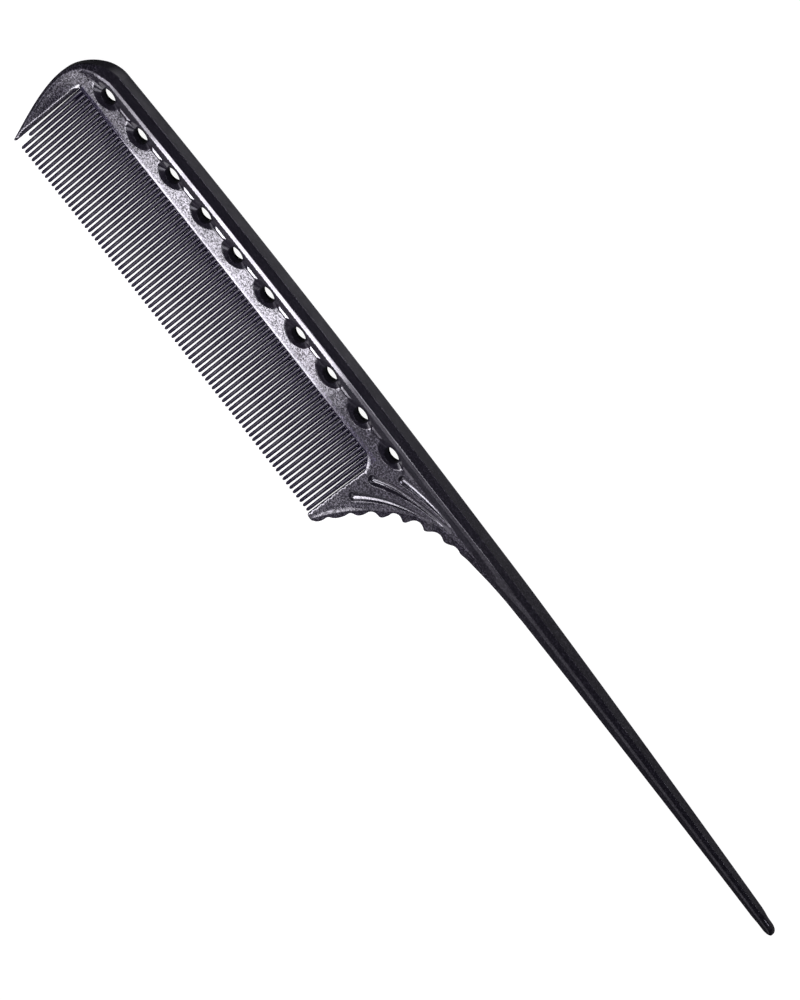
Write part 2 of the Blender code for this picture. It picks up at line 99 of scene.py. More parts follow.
# ------------------------------------------------------------------ plan curves
def points(x, y):
    return np.stack([x, y], axis=-1)


def lerp(a, b, t):
    return a + (b - a) * t


def smooth(t):
    t = np.clip(t, 0.0, 1.0)
    return t * t * (3.0 - 2.0 * t)


def fade_in(value, start, width):
    """0 up to start, 1 from start + width."""
    return smooth((value - start) / width)


def fade_out(value, end, width):
    """1 up to end - width, 0 from end."""
    return smooth((end - value) / width)


def to_neck(x, start):
    return fade_in(x, start, NECK_X1 - start)


def back_y(x):
    x = np.asarray(x, float)
    return -((x - CROWN_X) ** 2) / (2.0 * np.where(x < CROWN_X, BACK_R_FRONT, BACK_R_REAR))


def below_back(x, depth=0.0):
    return points(x, back_y(x) - depth)


def root_y(x):
    return -9.84 - (129.9 - np.asarray(x, float)) ** 2 / (2.0 * 3457.0)


def tooth_tip_y(x):
    return -32.0 - (173.4 - x) ** 2 / (2.0 * 5270.0)


def root_line(x):
    """Where the gaps between the teeth end, with the fillet at the heel."""
    t = np.clip((np.asarray(x, float) - FILLET_X) / FILLET_R, 0.0, 1.0)
    return root_y(x) - FILLET_R * t ** 2.2


def strip_top(x):
    return root_y(x) + STRIP_UP


def strip_base(x):
    return root_line(x) - STRIP_DN


def tail_scale(x):
    return 1.0 - 0.0068 * (np.asarray(x, float) - 150.7)


def tail_low(x):
    """Lower edge of the tail, slightly deeper just behind the neck."""
    x = np.asarray(x, float)
    extra = 0.03 * np.clip(1.0 - (x - NECK_X1) / 12.0, 0.0, 1.0)
    return back_y(x) - TAIL_DEPTH * tail_scale(x) - extra


def bezier(controls, count):
    p = np.array(controls, float)
    t = np.linspace(0.0, 1.0, count + 1)[:, None]
    s = 1.0 - t
    return p[0] * s ** 3 + p[1] * 3 * s * s * t + p[2] * 3 * s * t * t + p[3] * t ** 3


def quadratic(start, middle, end, count=40):
    t = np.linspace(0.0, 1.0, count + 1)[:, None]
    s = 1.0 - t
    return np.array(start) * s * s + np.array(middle) * 2 * s * t + np.array(end) * t * t


def respace(line, step):
    """The polyline again, with evenly spaced points about step apart."""
    line = np.asarray(line, float)
    lengths = np.hypot(*(np.diff(line, axis=0).T))
    walk = np.concatenate([[0.0], np.cumsum(lengths)])
    count = max(1, int(round(walk[-1] / step)))
    s = np.linspace(0.0, walk[-1], count + 1)
    return points(np.interp(s, walk, line[:, 0]), np.interp(s, walk, line[:, 1]))


# Bezier control points (x, y): outer edge of the front guard, edge of the heel's face
FRONT_TOP = [(CORNER_X, back_y(CORNER_X)), (4.30, -2.55), (0.0, -8.20), (0.0, -13.80)]
FRONT_LOW = [(0.0, -13.80), (0.0, -20.50), (2.90, -28.40), (4.75, -34.40)]
FACE_LOW = [(100.10, -32.10), (102.45, -23.40), (107.30, -14.10), (113.60, -8.50)]
FACE_HIGH = [(113.60, -8.50), (119.20, -4.60), (126.50, -4.30), (141.00, -2.36)]

# inner edge of the front guard (x, y), from its tip up to the root strip
INNER_GUARD = np.array([
    (5.34, -34.42), (5.27, -31.0), (5.13, -23.0), (4.95, -15.2), (4.90, -14.30),
    (4.89, -13.55), (4.91, -12.98), (LEAD_X0, strip_base(LEAD_X0)),
])

# rounded tip of the heel (x, y), from its inner edge outwards
HEEL_TIP = np.array([
    (HEEL_IN, -31.95), (98.72, -32.30), (98.85, -32.58), (99.15, -32.76),
    (99.6, -32.80), (100.1, -32.76), (100.45, -32.62),
])

# fins and valleys of the finger grip (x, y): from the heel tip towards the neck
GRIP = [
    (100.35, -32.60), (101.03, -31.91), (101.44, -30.98), (101.62, -30.07), (101.64, -29.19),
    (101.91, -28.46), (102.46, -27.87), (102.91, -27.13), (103.27, -26.16), (103.55, -25.10),
    (103.62, -24.25), (103.71, -23.56), (104.05, -23.02), (104.76, -22.53), (105.22, -21.97),
    (105.55, -21.11), (105.72, -20.13), (105.79, -19.42), (106.10, -18.71), (106.64, -18.15),
    (107.28, -17.98), (107.94, -17.86), (108.38, -17.32), (108.61, -16.46), (108.75, -15.73),
    (108.75, -15.06), (108.94, -14.40), (109.40, -13.87), (110.08, -13.52), (110.81, -13.64),
    (111.44, -13.84), (111.91, -13.40), (112.12, -12.62), (112.36, -11.72), (112.83, -10.92),
    (113.57, -10.44), (114.27, -10.40), (114.82, -10.59), (115.30, -10.80), (115.77, -10.44),
    (116.18, -9.84), (116.55, -9.20), (117.10, -8.60), (117.80, -8.21), (118.53, -8.21),
    (119.27, -8.48), (119.93, -8.34), (120.63, -7.79), (121.25, -7.21), (121.90, -6.95),
    (122.58, -6.93), (123.28, -7.10), (124.01, -6.94), (125.11, -6.66), (126.60, -6.46),
    (128.50, -6.20), (131.00, -5.81), (133.50, -5.52), (136.00, -5.27), (138.50, -5.12),
    (141.00, -5.00),
]

# fan grooves in the heel: centre line, radius at its start and end, polish
GROOVES = [
    (quadratic((105.0, -7.00), (111.0, -4.77), (119.4, -3.95)), 1.16, 0.36, 1.0),
    (quadratic((101.4, -13.10), (107.5, -7.60), (118.6, -5.25)), 1.30, 0.36, 1.0),
    (quadratic((101.5, -20.10), (106.0, -12.00), (115.0, -7.75)), 1.14, 0.34, 0.62),
]


def grip_edge():
    """Catmull-Rom curve through the grip points."""
    p = np.array(GRIP)
    p = np.vstack([2 * p[0] - p[1], p, 2 * p[-1] - p[-2]])
    out = []
    t = np.linspace(0.0, 1.0, 7)[:-1, None]
    for a, b, c, d in zip(p, p[1:], p[2:], p[3:]):
        out.append(0.5 * (2 * b + (c - a) * t + (2 * a - 5 * b + 4 * c - d) * t ** 2
                          + (3 * b - a - 3 * c + d) * t ** 3))
    return respace(np.vstack(out + [p[-2:-1]]), 0.12)


GRIP_EDGE = grip_edge()


def tail_end():
    """Blunt rounded end of the tail in plan, from the back line to the lower edge."""
    end = LENGTH
    x = end - TAIL_ROUND
    top, low = float(back_y(x)), float(tail_low(x))
    nose = (end, top - 1.55)
    upper = bezier([(x, top), (x + 1.35, top - 0.02), (end, top - 0.75), nose], 14)
    lower = bezier([nose, (end, low + 0.75), (x + 1.35, low + 0.02), (x, low)], 14)
    return np.vstack([upper, lower[1:]])


def thinned_grip():
    """The grip edge from the neck to the heel tip, with the closest points dropped."""
    edge = GRIP_EDGE[::-1]
    keep = [0]
    for i in range(1, len(edge)):
        gap = 0.22 if edge[i, 0] < 125.5 else 0.5
        if np.hypot(*(edge[i] - edge[keep[-1]])) >= gap:
            keep.append(i)
    return edge[keep]


def make_outline():
    """Closed outline, clockwise from the front corner; teeth and strip left out."""
    back_x = np.arange(CORNER_X, LENGTH - TAIL_ROUND - 0.3, 0.8)
    tail_x = np.arange(LENGTH - TAIL_ROUND - 0.6, 141.4, -0.8)
    strip_x = np.linspace(HEEL_IN, LEAD_X0, 189)
    heel_base = (HEEL_IN, strip_base(HEEL_IN))
    heel_top = (HEEL_IN, strip_top(HEEL_IN))
    lead_top = (LEAD_X0, strip_top(LEAD_X0))
    return np.vstack([
        below_back(back_x),
        tail_end(),
        points(tail_x, tail_low(tail_x)),
        thinned_grip(),
        HEEL_TIP[::-1],
        respace([HEEL_TIP[0], heel_base], 0.5)[1:],
        respace([heel_base, heel_top], 0.3)[1:],
        points(strip_x, strip_top(strip_x))[1:],
        respace([lead_top, INNER_GUARD[-1]], 0.3)[1:],
        respace(INNER_GUARD[::-1], 0.4)[1:],
        [(5.22, -34.62), (5.05, -34.72), (4.88, -34.66)],     # tip of the guard
        respace(bezier(FRONT_LOW, 200)[::-1], 0.4)[:-1],
        respace(bezier(FRONT_TOP, 120)[::-1], 0.35)[:-1],
    ])


OUTLINE = make_outline()


def runs_of(mask):
    """Indices of the true entries, split where they stop being consecutive."""
    index = np.flatnonzero(mask)
    return np.split(index, np.flatnonzero(np.diff(index) > 1) + 1)


def visible_edge():
    """The outline without the seams to the root strip, as one open polyline."""
    x, y = OUTLINE.T
    seam = (np.abs(y - strip_top(x)) < 1e-6) & (x < HEEL_IN + 0.01)
    seam |= (np.abs(x - HEEL_IN) < 1e-6) & (y > strip_base(HEEL_IN) + 1e-4)
    seam |= (np.abs(x - LEAD_X0) < 1e-6) & (y > INNER_GUARD[-1, 1] + 1e-4)
    runs = runs_of(~seam)
    return OUTLINE[np.concatenate([runs[-1], runs[0]])]


VISIBLE_EDGE = visible_edge()


# ------------------------------------------------------------- distance helpers
def nearest(x, y, line):
    """Distance to a polyline; y and fraction along the line of the nearest spot."""
    starts, steps = line[:-1], np.diff(line, axis=0)
    squares = (steps ** 2).sum(1) + 1e-18
    count = len(starts)
    best = np.full(x.shape, 1e9)
    near_y, near_t = np.zeros(x.shape), np.zeros(x.shape)
    rows = np.arange(len(x))
    for low in range(0, count, 64):
        start, step = starts[low:low + 64], steps[low:low + 64]
        t = ((x[:, None] - start[None, :, 0]) * step[None, :, 0]
             + (y[:, None] - start[None, :, 1]) * step[None, :, 1]) / squares[low:low + 64]
        t = np.clip(t, 0.0, 1.0)
        spot_x = start[None, :, 0] + t * step[None, :, 0]
        spot_y = start[None, :, 1] + t * step[None, :, 1]
        distance = np.hypot(x[:, None] - spot_x, y[:, None] - spot_y)
        k = distance.argmin(1)
        closer = distance[rows, k] < best
        best[closer] = distance[rows, k][closer]
        near_y[closer] = spot_y[rows, k][closer]
        near_t[closer] = ((low + k) + t[rows, k])[closer] / count
    return best, near_y, near_t


def edge_distance(x, y):
    """Distance to the visible edge where it is under 2 mm, large elsewhere."""
    best = np.full(x.shape, 1e9)
    for low in range(0, len(VISIBLE_EDGE) - 1, 40):
        part = VISIBLE_EDGE[low:low + 41]
        x0, y0 = part.min(0) - 2.0
        x1, y1 = part.max(0) + 2.0
        close = (x > x0) & (x < x1) & (y > y0) & (y < y1)
        if close.any():
            best[close] = np.minimum(best[close], nearest(x[close], y[close], part)[0])
    return best


def ramp(t, width):
    """max(t, 0) with its corner rounded over +-width."""
    return np.where(t <= -width, 0.0, np.where(t >= width, t, (t + width) ** 2 / (4.0 * width)))


def soft_min(a, b, width):
    return a - ramp(a - b, width)


def piecewise(place, knots):
    """Line through knots (place, z, rounding), flat after the last.

    The first knot's rounding is not used.
    """
    z = knots[0][1] + 0.0 * place
    slope = 0.0
    for i, ((x0, z0, rounding), (x1, z1, _)) in enumerate(zip(knots, knots[1:])):
        new_slope = (z1 - z0) / (x1 - x0)
        if i == 0:
            z = z + new_slope * place
        else:
            z = z + (new_slope - slope) * ramp(place - x0, rounding)
        slope = new_slope
    return z - slope * ramp(place - knots[-1][0], knots[-1][2])


def signed_power(value, exponent):
    return np.sign(value) * np.abs(value) ** exponent


def hole_centre(i):
    x = HOLE_X0 + HOLE_PITCH * i
    return x, back_y(x) - (HOLE_DEPTH + HOLE_DRIFT * i)


def hole_ratio(x, y, i):
    """1 on the edge of hole i, less inside it."""
    centre_x, centre_y = hole_centre(i)
    return np.hypot((x - centre_x) / HOLE_RX, (y - centre_y) / HOLE_RY)


# ---------------------------------------------------------------- half thickness
_edge_x = np.linspace(9.3, 16.0, 16)
_guard_x = np.linspace(5.4, 30.0, 50)
_heel_x = np.linspace(80.0, HEEL_IN, 120)
FRONT_EDGE = np.vstack([bezier(FRONT_LOW, 90)[::-1], bezier(FRONT_TOP, 90)[::-1][1:],
                        below_back(_edge_x)])
INNER_PATH = np.vstack([INNER_GUARD, points(_guard_x, strip_base(_guard_x))])
HEEL_PATH = np.vstack([points(_heel_x, strip_base(_heel_x)), HEEL_TIP[:-1]])
FACE = np.vstack([bezier(FACE_LOW, 60), bezier(FACE_HIGH, 60)[1:]])


def shoulder(above):
    """Half thickness near the roots of the teeth, above the bottom of the gaps."""
    return piecewise(above, [(0.0, 1.13, 0.0), (0.22, 1.385, 0.12), (1.05, 1.50, 0.30)])


def open_shoulder(above):
    """The shoulder, climbing steeply past its top so that it stops limiting the body."""
    return shoulder(above) + ramp(above - 1.05, 0.2) * 3.0


def edge_profile(x, y, depth):
    """Half thickness from the outer edge over crest and step to the web, and the polish."""
    # distance to the back line and round the front corner
    edge = depth.copy()
    on_guard = np.zeros(x.shape)         # 0 on the back, 1 on the front guard
    down_guard = np.zeros(x.shape)       # 0 at the top of the guard, 1 at its tip
    front = x < 15.0
    distance, near_y, _ = nearest(x[front], y[front], FRONT_EDGE)
    on_back = fade_in(x[front], 10.0, 4.0)
    edge[front] = lerp(distance, depth[front], on_back)
    on_guard[front] = fade_out(near_y, -2.55, 7.0) * (1.0 - on_back)
    down_guard[front] = np.clip((-12.0 - near_y) / 22.0, 0.0, 1.0)

    # towards the neck the rib turns into the tail's crest
    tail_mix = to_neck(x, 104.0)
    step_gone = fade_in(x, 101.5, 4.0)   # the step under the crest fades out
    scale = lerp(1.0, tail_scale(x), to_neck(x, 118.0))

    def blend(back, guard, tail):
        return lerp(lerp(back, guard, on_guard), tail * scale, tail_mix)

    crest_start = blend(back=1.84, guard=lerp(0.85, 0.5, down_guard), tail=1.25)
    crest_end = blend(back=2.68, guard=lerp(1.45, 0.9, down_guard), tail=2.10)
    web = lerp(1.50, 1.88 * scale, to_neck(x, 121.0))
    step_start = crest_end + lerp(1.84, 0.7, on_guard)
    step_end = step_start + 0.52
    web_start = step_end + 0.42
    hollow = 0.055 * (1.0 - step_gone) * (1.0 - on_guard)
    h = piecewise(edge, [
        (0.0, blend(back=1.44, guard=1.0, tail=1.40), 0.0),
        (crest_start, blend(back=2.23, guard=1.60, tail=1.90), 0.14),
        (crest_end, blend(back=2.23, guard=1.59, tail=1.88), 0.10),
        (step_start, lerp(lerp(1.67, 1.53, on_guard), web, step_gone), 0.08),
        (step_end, lerp(lerp(1.66, 1.51, on_guard), web, step_gone), 0.10),
        (web_start, web - hollow, 0.12),
        (web_start + 3.3, web, 1.6),
    ])
    polish = np.where((edge < step_end + 0.2) & (x < 106.0), 1.0 - on_guard, 0.0)
    crest_polish = fade_out(edge, step_start + 0.2, 0.5) * (1.0 - on_guard) * 0.8
    return h, np.maximum(polish, crest_polish)


def shape_lower_band(x, y, depth, h):
    """Rim and tilt of the heel's face, and the band falling from it to the lower edge."""
    zone = x > 99.0
    zx, zy = x[zone], y[zone]
    head = zx < NECK_X1
    tail = ~head
    past_face = np.zeros(zx.shape)       # distance outside the face edge
    to_edge = np.ones(zx.shape)          # distance left to the lower edge
    to_face = nearest(zx[head], zy[head], FACE)[0]
    outside = zy[head] < np.interp(zx[head], FACE[:, 0], FACE[:, 1])
    past_face[head] = np.where(outside, to_face, -to_face)
    to_edge[head] = nearest(zx[head], zy[head], GRIP_EDGE)[0]
    scale = tail_scale(zx)
    past_face[tail] = depth[zone][tail] - TAIL_FACE * scale[tail]
    to_edge[tail] = np.maximum(TAIL_DEPTH * scale[tail] - depth[zone][tail], 0.0)
    across = past_face / np.maximum(past_face + to_edge, 0.25)

    # the face rises a little towards its outer edge, and all of it tilts at the tip
    rim = 0.100 * ramp(0.80 + np.minimum(past_face, 0.0), 0.12) * fade_out(zx, 111.5, 5.0)
    rim = rim * fade_in(zx, 99.6, 1.2) * fade_out(zy, -4.5, 3.0)
    face_x = np.interp(zy, FACE[:, 1], FACE[:, 0])
    tilt = -0.105 * np.clip(face_x - zx, 0.0, 4.0) * fade_out(zy, -17.0, 7.0)

    # the fall has a gentle first part, up to 0.76 across, and a second part to the edge
    tail_mix = fade_in(zx, 118.0, 20.0)
    fall_mid = lerp(0.30, 0.52 * scale, tail_mix)
    fall_end = lerp(0.44, 1.03 * scale, tail_mix)
    first = piecewise(np.maximum(across, -1.0) + 1.0,
                      [(0.0, 0.0, 0.0), (1.0, 0.0, 0.06), (1.76, 1.0, 0.08), (2.0, 1.0, 0.0)])
    second = np.clip(ramp(across - 0.76, 0.10) / 0.24, 0.0, 1.2)
    h[zone] = h[zone] + rim + tilt - (first * fall_mid + second * (fall_end - fall_mid))


def tip_taper(x, y):
    """Thinner towards the tips of the guard and the heel."""
    guard = 1.0 - 0.56 * np.clip((-12.0 - y) / 22.6, 0.0, 1.0) ** 1.1
    heel = 1.0 - 0.45 * np.clip((-12.0 - y) / 20.3, 0.0, 1.0)
    return np.where(x < 50.0, guard, heel)


def round_inner_edges(x, y, h, polish, taper):
    """Edges along the roots, the inside of the guard and the inside of the heel."""
    zone = x < 12.0
    inside, near_y, _ = nearest(x[zone], y[zone], INNER_PATH)
    bevel = piecewise(inside, [(0.0, 0.42, 0.0), (0.78, 1.52, 0.05),
                               (3.0, 4.6, 0.1), (9.0, 13.0, 0.1)]) * taper[zone]
    limit = lerp(open_shoulder(inside), bevel, fade_out(near_y, -12.6, 2.2))
    h[zone] = soft_min(h[zone], limit, 0.06)
    polish[zone] = np.maximum(polish[zone], fade_out(inside, 1.0, 0.3) * 0.66)

    zone = (x > 94.0) & (x < 106.0) & (y < -8.0)
    inside, near_y, _ = nearest(x[zone], y[zone], HEEL_PATH)
    tight = piecewise(inside, [(0.0, 1.05, 0.0), (0.30, 1.46, 0.1),
                               (0.55, 1.56, 0.1), (9.0, 22.0, 0.1)]) * taper[zone]
    limit = lerp(open_shoulder(inside) * taper[zone], tight, fade_out(near_y, -13.3, 1.5))
    h[zone] = soft_min(h[zone], limit, 0.05)
    polish[zone] = np.maximum(polish[zone], fade_out(inside, 0.75, 0.3) * 0.60)


def round_drop(distance, radius):
    """How far a rounded edge lies below the flat, at a distance from the edge."""
    inward = radius - np.clip(distance, 0.0, radius)
    return radius - np.sqrt(np.maximum(radius ** 2 - inward ** 2, 0.0))


def cut_bowls(x, y, depth, h, polish):
    """Bowls in the web and the rounded rims of their holes."""
    zone = (x > WEB_X0) & (x < WEB_X1) & (depth > 2.3) & (depth < 8.8)
    zx = x[zone]
    i = np.clip(np.round((zx - HOLE_X0) / HOLE_PITCH), 0, HOLES - 1)
    down = depth[zone] - BOWL_DEPTH
    down = np.abs(down) / np.where(down > 0.0, BOWL_DN, BOWL_UP)
    along = np.abs(zx - hole_centre(i)[0] - BOWL_SHIFT) / BOWL_RX
    ratio = (along ** BOWL_N + down ** BOWL_N) ** (1.0 / BOWL_N)
    bowl = np.maximum(1.55 - 1.25 * (1.0 - np.minimum(ratio, 1.8)), 0.36)
    flat = h[zone]
    from_hole = (hole_ratio(zx, y[zone], i) - 1.0) * HOLE_SCALE
    h[zone] = soft_min(flat, bowl, 0.07) - round_drop(from_hole, HOLE_RIM)
    # the bowls are smooth, and polish 1.25 lowers their gloss: painted shade in the recesses
    polish[zone] = np.where(flat - bowl > -0.02, 1.25, polish[zone])


def cut_grooves(x, y, depth, h, polish, taper):
    """Fan grooves in the heel, with a sharper channel along the middle."""
    floor_part = 0.42                    # share of the radius taken by the channel
    zone = (x > 99.0) & (x < 121.5) & (depth > 2.4)
    for line, start_radius, end_radius, gloss in GROOVES:
        distance, _, t = nearest(x[zone], y[zone], line)
        radius = lerp(start_radius, end_radius, t)
        u = np.clip(distance / radius, 0.0, 1.0)
        fade = 1.0 - t ** 3
        cut = 0.46 * radius * fade * (1.0 - smooth((u - floor_part) / 0.58))
        cut = cut + 0.32 * radius * fade * ramp(floor_part - u, 0.05)
        h[zone] = h[zone] - cut * taper[zone]
        polish[zone] = np.where(distance < radius * 1.02, gloss, polish[zone])


def edge_radius(x, y, h):
    """Small radius all round, larger on the front guard and at the tail tip."""
    radius = lerp(0.075, 1.15, fade_in(x, 214.5, 4.2))
    radius = np.where((x < 50.0) & (y < -5.0), 0.16, radius)
    return np.minimum(radius, np.maximum(h * 0.8, 0.02))


def height(x, y):
    """Half thickness of the comb at (x, y), and how polished the mould is there; 1.25 in the
    bowls, where it lowers the gloss as painted shade.
    """
    depth = back_y(x) - y
    h, polish = edge_profile(x, y, depth)
    shape_lower_band(x, y, depth, h)
    taper = tip_taper(x, y)
    h = h * taper
    round_inner_edges(x, y, h, polish, taper)
    cut_bowls(x, y, depth, h, polish)
    cut_grooves(x, y, depth, h, polish, taper)
    h = h - round_drop(edge_distance(x, y), edge_radius(x, y, h))
    return np.maximum(h, 0.05), polish


def surface_normals(xy):
    step = 0.012
    x, y = xy[:, 0], xy[:, 1]
    slope_x = (height(x + step, y)[0] - height(x - step, y)[0]) / (2 * step)
    slope_y = (height(x, y + step)[0] - height(x, y - step)[0]) / (2 * step)
    normals = np.stack([-slope_x, -slope_y, np.ones(len(xy))], 1)
    return normals / np.linalg.norm(normals, axis=1)[:, None]


# ---------------------------------------------------------------- triangulation
BACK_ROW_DEPTHS = (
    0.5, 1.0, 1.4, 1.70, 1.77, 1.84, 1.91, 1.98, 2.2, 2.45, 2.58, 2.63, 2.68, 2.73, 2.78, 3.0,
    3.4, 3.8, 4.2, 4.44, 4.48, 4.52, 4.56, 4.60, 4.77, 4.94, 5.04, 5.14, 5.34, 5.46, 5.58,
)
TAIL_ROWS = (0.5, 0.9, 1.12, 1.25, 1.38, 1.7, 2.0, 2.10, 2.22, 2.7, 3.3, 3.8, 3.95, 4.1, 4.3)
GROOVE_ROWS = (0.0, 0.15, 0.32, 0.42, 0.50, 0.62, 0.78, 0.92, 1.0, 1.06)   # shares of radius
# lattices over the solid parts: x from, x to, y from, y to, step, least spacing
LATTICES = [
    (-0.5, 12.0, -35.0, -1.0, 0.32, 0.2),       # front guard
    (98.5, 142.0, -33.0, 0.0, 0.36, 0.2),       # heel and neck
    (141.0, 221.0, -9.0, 0.0, 0.8, 0.42),       # tail
    (214.0, 221.0, -9.0, 0.0, 0.22, 0.13),      # tail end
]


class Plan:
    """Points and constraint lines of the plan, thinned as they are added."""

    CELL = 0.5

    def __init__(self):
        self.points = []
        self.edges = []
        self.grid = {}

    def cell_of(self, x, y):
        return int(math.floor(x / self.CELL)), int(math.floor(y / self.CELL))

    def find(self, x, y, radius):
        """A point closer than radius, or -1."""
        reach = int(math.ceil(radius / self.CELL))
        column, row = self.cell_of(x, y)
        for a in range(column - reach, column + reach + 1):
            for b in range(row - reach, row + reach + 1):
                for i in self.grid.get((a, b), ()):
                    p = self.points[i]
                    if (p[0] - x) ** 2 + (p[1] - y) ** 2 < radius * radius:
                        return i
        return -1

    def add(self, x, y):
        self.points.append((float(x), float(y)))
        self.grid.setdefault(self.cell_of(x, y), []).append(len(self.points) - 1)
        return len(self.points) - 1

    def line(self, line, closed=False, merge=0.004, constrain=True):
        ids = []
        for x, y in line:
            i = self.find(x, y, merge)
            if i < 0:
                i = self.add(x, y)
            if not ids or ids[-1] != i:
                ids.append(i)
        if constrain:
            self.edges.extend(zip(ids, ids[1:]))
            if closed and ids[0] != ids[-1]:
                self.edges.append((ids[-1], ids[0]))

    def fill(self, cloud, spacing):
        for x, y in cloud:
            if self.find(x, y, spacing) < 0:
                self.add(x, y)


def in_outline(cloud):
    x, y = cloud[:, 0], cloud[:, 1]
    inside = np.zeros(x.shape, bool)
    for (x0, y0), (x1, y1) in zip(OUTLINE, np.roll(OUTLINE, -1, 0)):
        if y0 == y1:
            continue
        level = (y > min(y0, y1)) & (y <= max(y0, y1))
        if level.any():
            inside ^= level & (x < x0 + (y - y0) * (x1 - x0) / (y1 - y0))
    return inside


def on_material(cloud, ratio):
    """Inside the outline and outside every hole scaled by ratio."""
    keep = in_outline(cloud)
    for i in range(HOLES):
        keep &= hole_ratio(cloud[:, 0], cloud[:, 1], i) > ratio
    return keep


def offset_loop(loop, distance):
    """Closed loop moved inward, corners mitred gently."""
    tangent = loop - np.roll(loop, 1, 0)
    tangent /= np.hypot(tangent[:, 0], tangent[:, 1])[:, None] + 1e-12
    normal = points(tangent[:, 1], -tangent[:, 0])
    mitre = normal + np.roll(normal, -1, 0)
    mitre = mitre / np.maximum(np.hypot(mitre[:, 0], mitre[:, 1])[:, None], 1e-6)
    cosine = np.clip((mitre * normal).sum(1), 0.6, 1.0)[:, None]
    return loop + mitre * distance / cosine


def unit_tangents(line):
    tangent = np.gradient(line, axis=0)
    return tangent / np.hypot(tangent[:, 0], tangent[:, 1])[:, None]


def left_normals(tangent):
    return points(-tangent[:, 1], tangent[:, 0])


def ellipse(x, y, radius_x, radius_y, angles):
    return points(x + radius_x * np.cos(angles), y + radius_y * np.sin(angles))


def lattice(x0, x1, y0, y1, step):
    """Staggered grid of points."""
    x, y = np.meshgrid(np.arange(x0, x1, step), np.arange(y0, y1, step * 0.9))
    x[1::2] += step * 0.5
    return points(x.ravel(), y.ravel())


def add_hole_loops(plan):
    angles = np.linspace(0, 2 * np.pi, 44, endpoint=False)
    for i in range(HOLES):
        x, y = hole_centre(i)
        for offset in (0.0, 0.03, 0.08, 0.14, 0.205):
            grow = 1 + offset / HOLE_SCALE
            plan.line(ellipse(x, y, HOLE_RX * grow, HOLE_RY * grow, angles),
                      closed=True, constrain=offset < 0.15)


def add_seams(plan):
    """Lines where one member ends and the next begins."""
    plan.line(respace([below_back(CORNER_X), below_back(CORNER_X, SEAM_D)], 0.3))
    plan.line(below_back(np.linspace(CORNER_X, HEEL_X1, 231), SEAM_D))
    plan.line(below_back(np.linspace(WEB_X0, CORNER_X, 8), SEAM_D))
    for x, step in ((WEB_X0, 0.3), (WEB_X1, 0.35)):
        plan.line(respace([below_back(x, SEAM_D), (x, strip_top(x))], step))
    x = np.linspace(HEEL_IN, WEB_X1, 12)
    plan.line(points(x, strip_top(x)))
    heel_low = GRIP_EDGE[np.abs(GRIP_EDGE[:, 0] - HEEL_X1).argmin(), 1]
    for x, low in ((HEEL_X1, heel_low), (NECK_X1, tail_low(NECK_X1)),
                   (SHANK_X1, tail_low(SHANK_X1))):
        plan.line(respace([below_back(x), (x, low)], 0.25))


def add_edge_loops(plan):
    """Loops just inside the outline for its rounded edge."""
    for offset in (0.02, 0.045, 0.08, 0.20):
        loop = offset_loop(OUTLINE, offset)
        good = np.abs(edge_distance(loop[:, 0], loop[:, 1]) - offset) < offset * 0.35
        loop = np.vstack([loop, loop[:1]])
        for run in runs_of(np.append(good, good[0])):
            if len(run) > 1:
                plan.line(loop[run], merge=0.012, constrain=offset < 0.15)


def add_groove_rows(plan):
    for line, start_radius, end_radius, _ in GROOVES:
        path = respace(line, 0.3)
        tangent = unit_tangents(path)
        normal = left_normals(tangent)
        radius = lerp(start_radius, end_radius, np.linspace(0, 1, len(path)))[:, None]
        for share in GROOVE_ROWS:
            for side in (1, -1):
                plan.fill(path + normal * radius * share * side, 0.035)
        # half circles round both ends: centre, outward direction, radius, shares, angles
        for centre, away, end, shares, count in (
                (path[0], -tangent[0], start_radius, GROOVE_ROWS[1:], 13),
                (path[-1], tangent[-1], end_radius, (0.5, 0.85, 1.0, 1.1), 7)):
            facing = math.atan2(away[1], away[0])
            angles = np.linspace(facing - np.pi / 2, facing + np.pi / 2, count)[1:-1]
            for share in shares:
                plan.fill(ellipse(*centre, end * share, end * share, angles), 0.035)


def add_bowl_contours(plan):
    angles = np.linspace(0.0, 2.0 * np.pi, 97)[:-1]
    reach_x = signed_power(np.cos(angles), 2.0 / BOWL_N) * BOWL_RX
    reach_y = signed_power(np.sin(angles), 2.0 / BOWL_N)
    reach_y = reach_y * np.where(reach_y > 0.0, BOWL_UP, BOWL_DN)
    contours = (
        (slice(None), (1.08, 1.04, 1.0, 0.95, 0.88, 0.78, 0.66, 0.54)),
        (reach_y > 0.25, (1.42, 1.34, 1.26, 1.18)),       # upper side only
    )
    for i in range(HOLES):
        for part, scales in contours:
            for scale in scales:
                x = hole_centre(i)[0] + BOWL_SHIFT + reach_x[part] * scale
                y = back_y(x) - BOWL_DEPTH + reach_y[part] * scale
                plan.fill(points(x, y), 0.055)


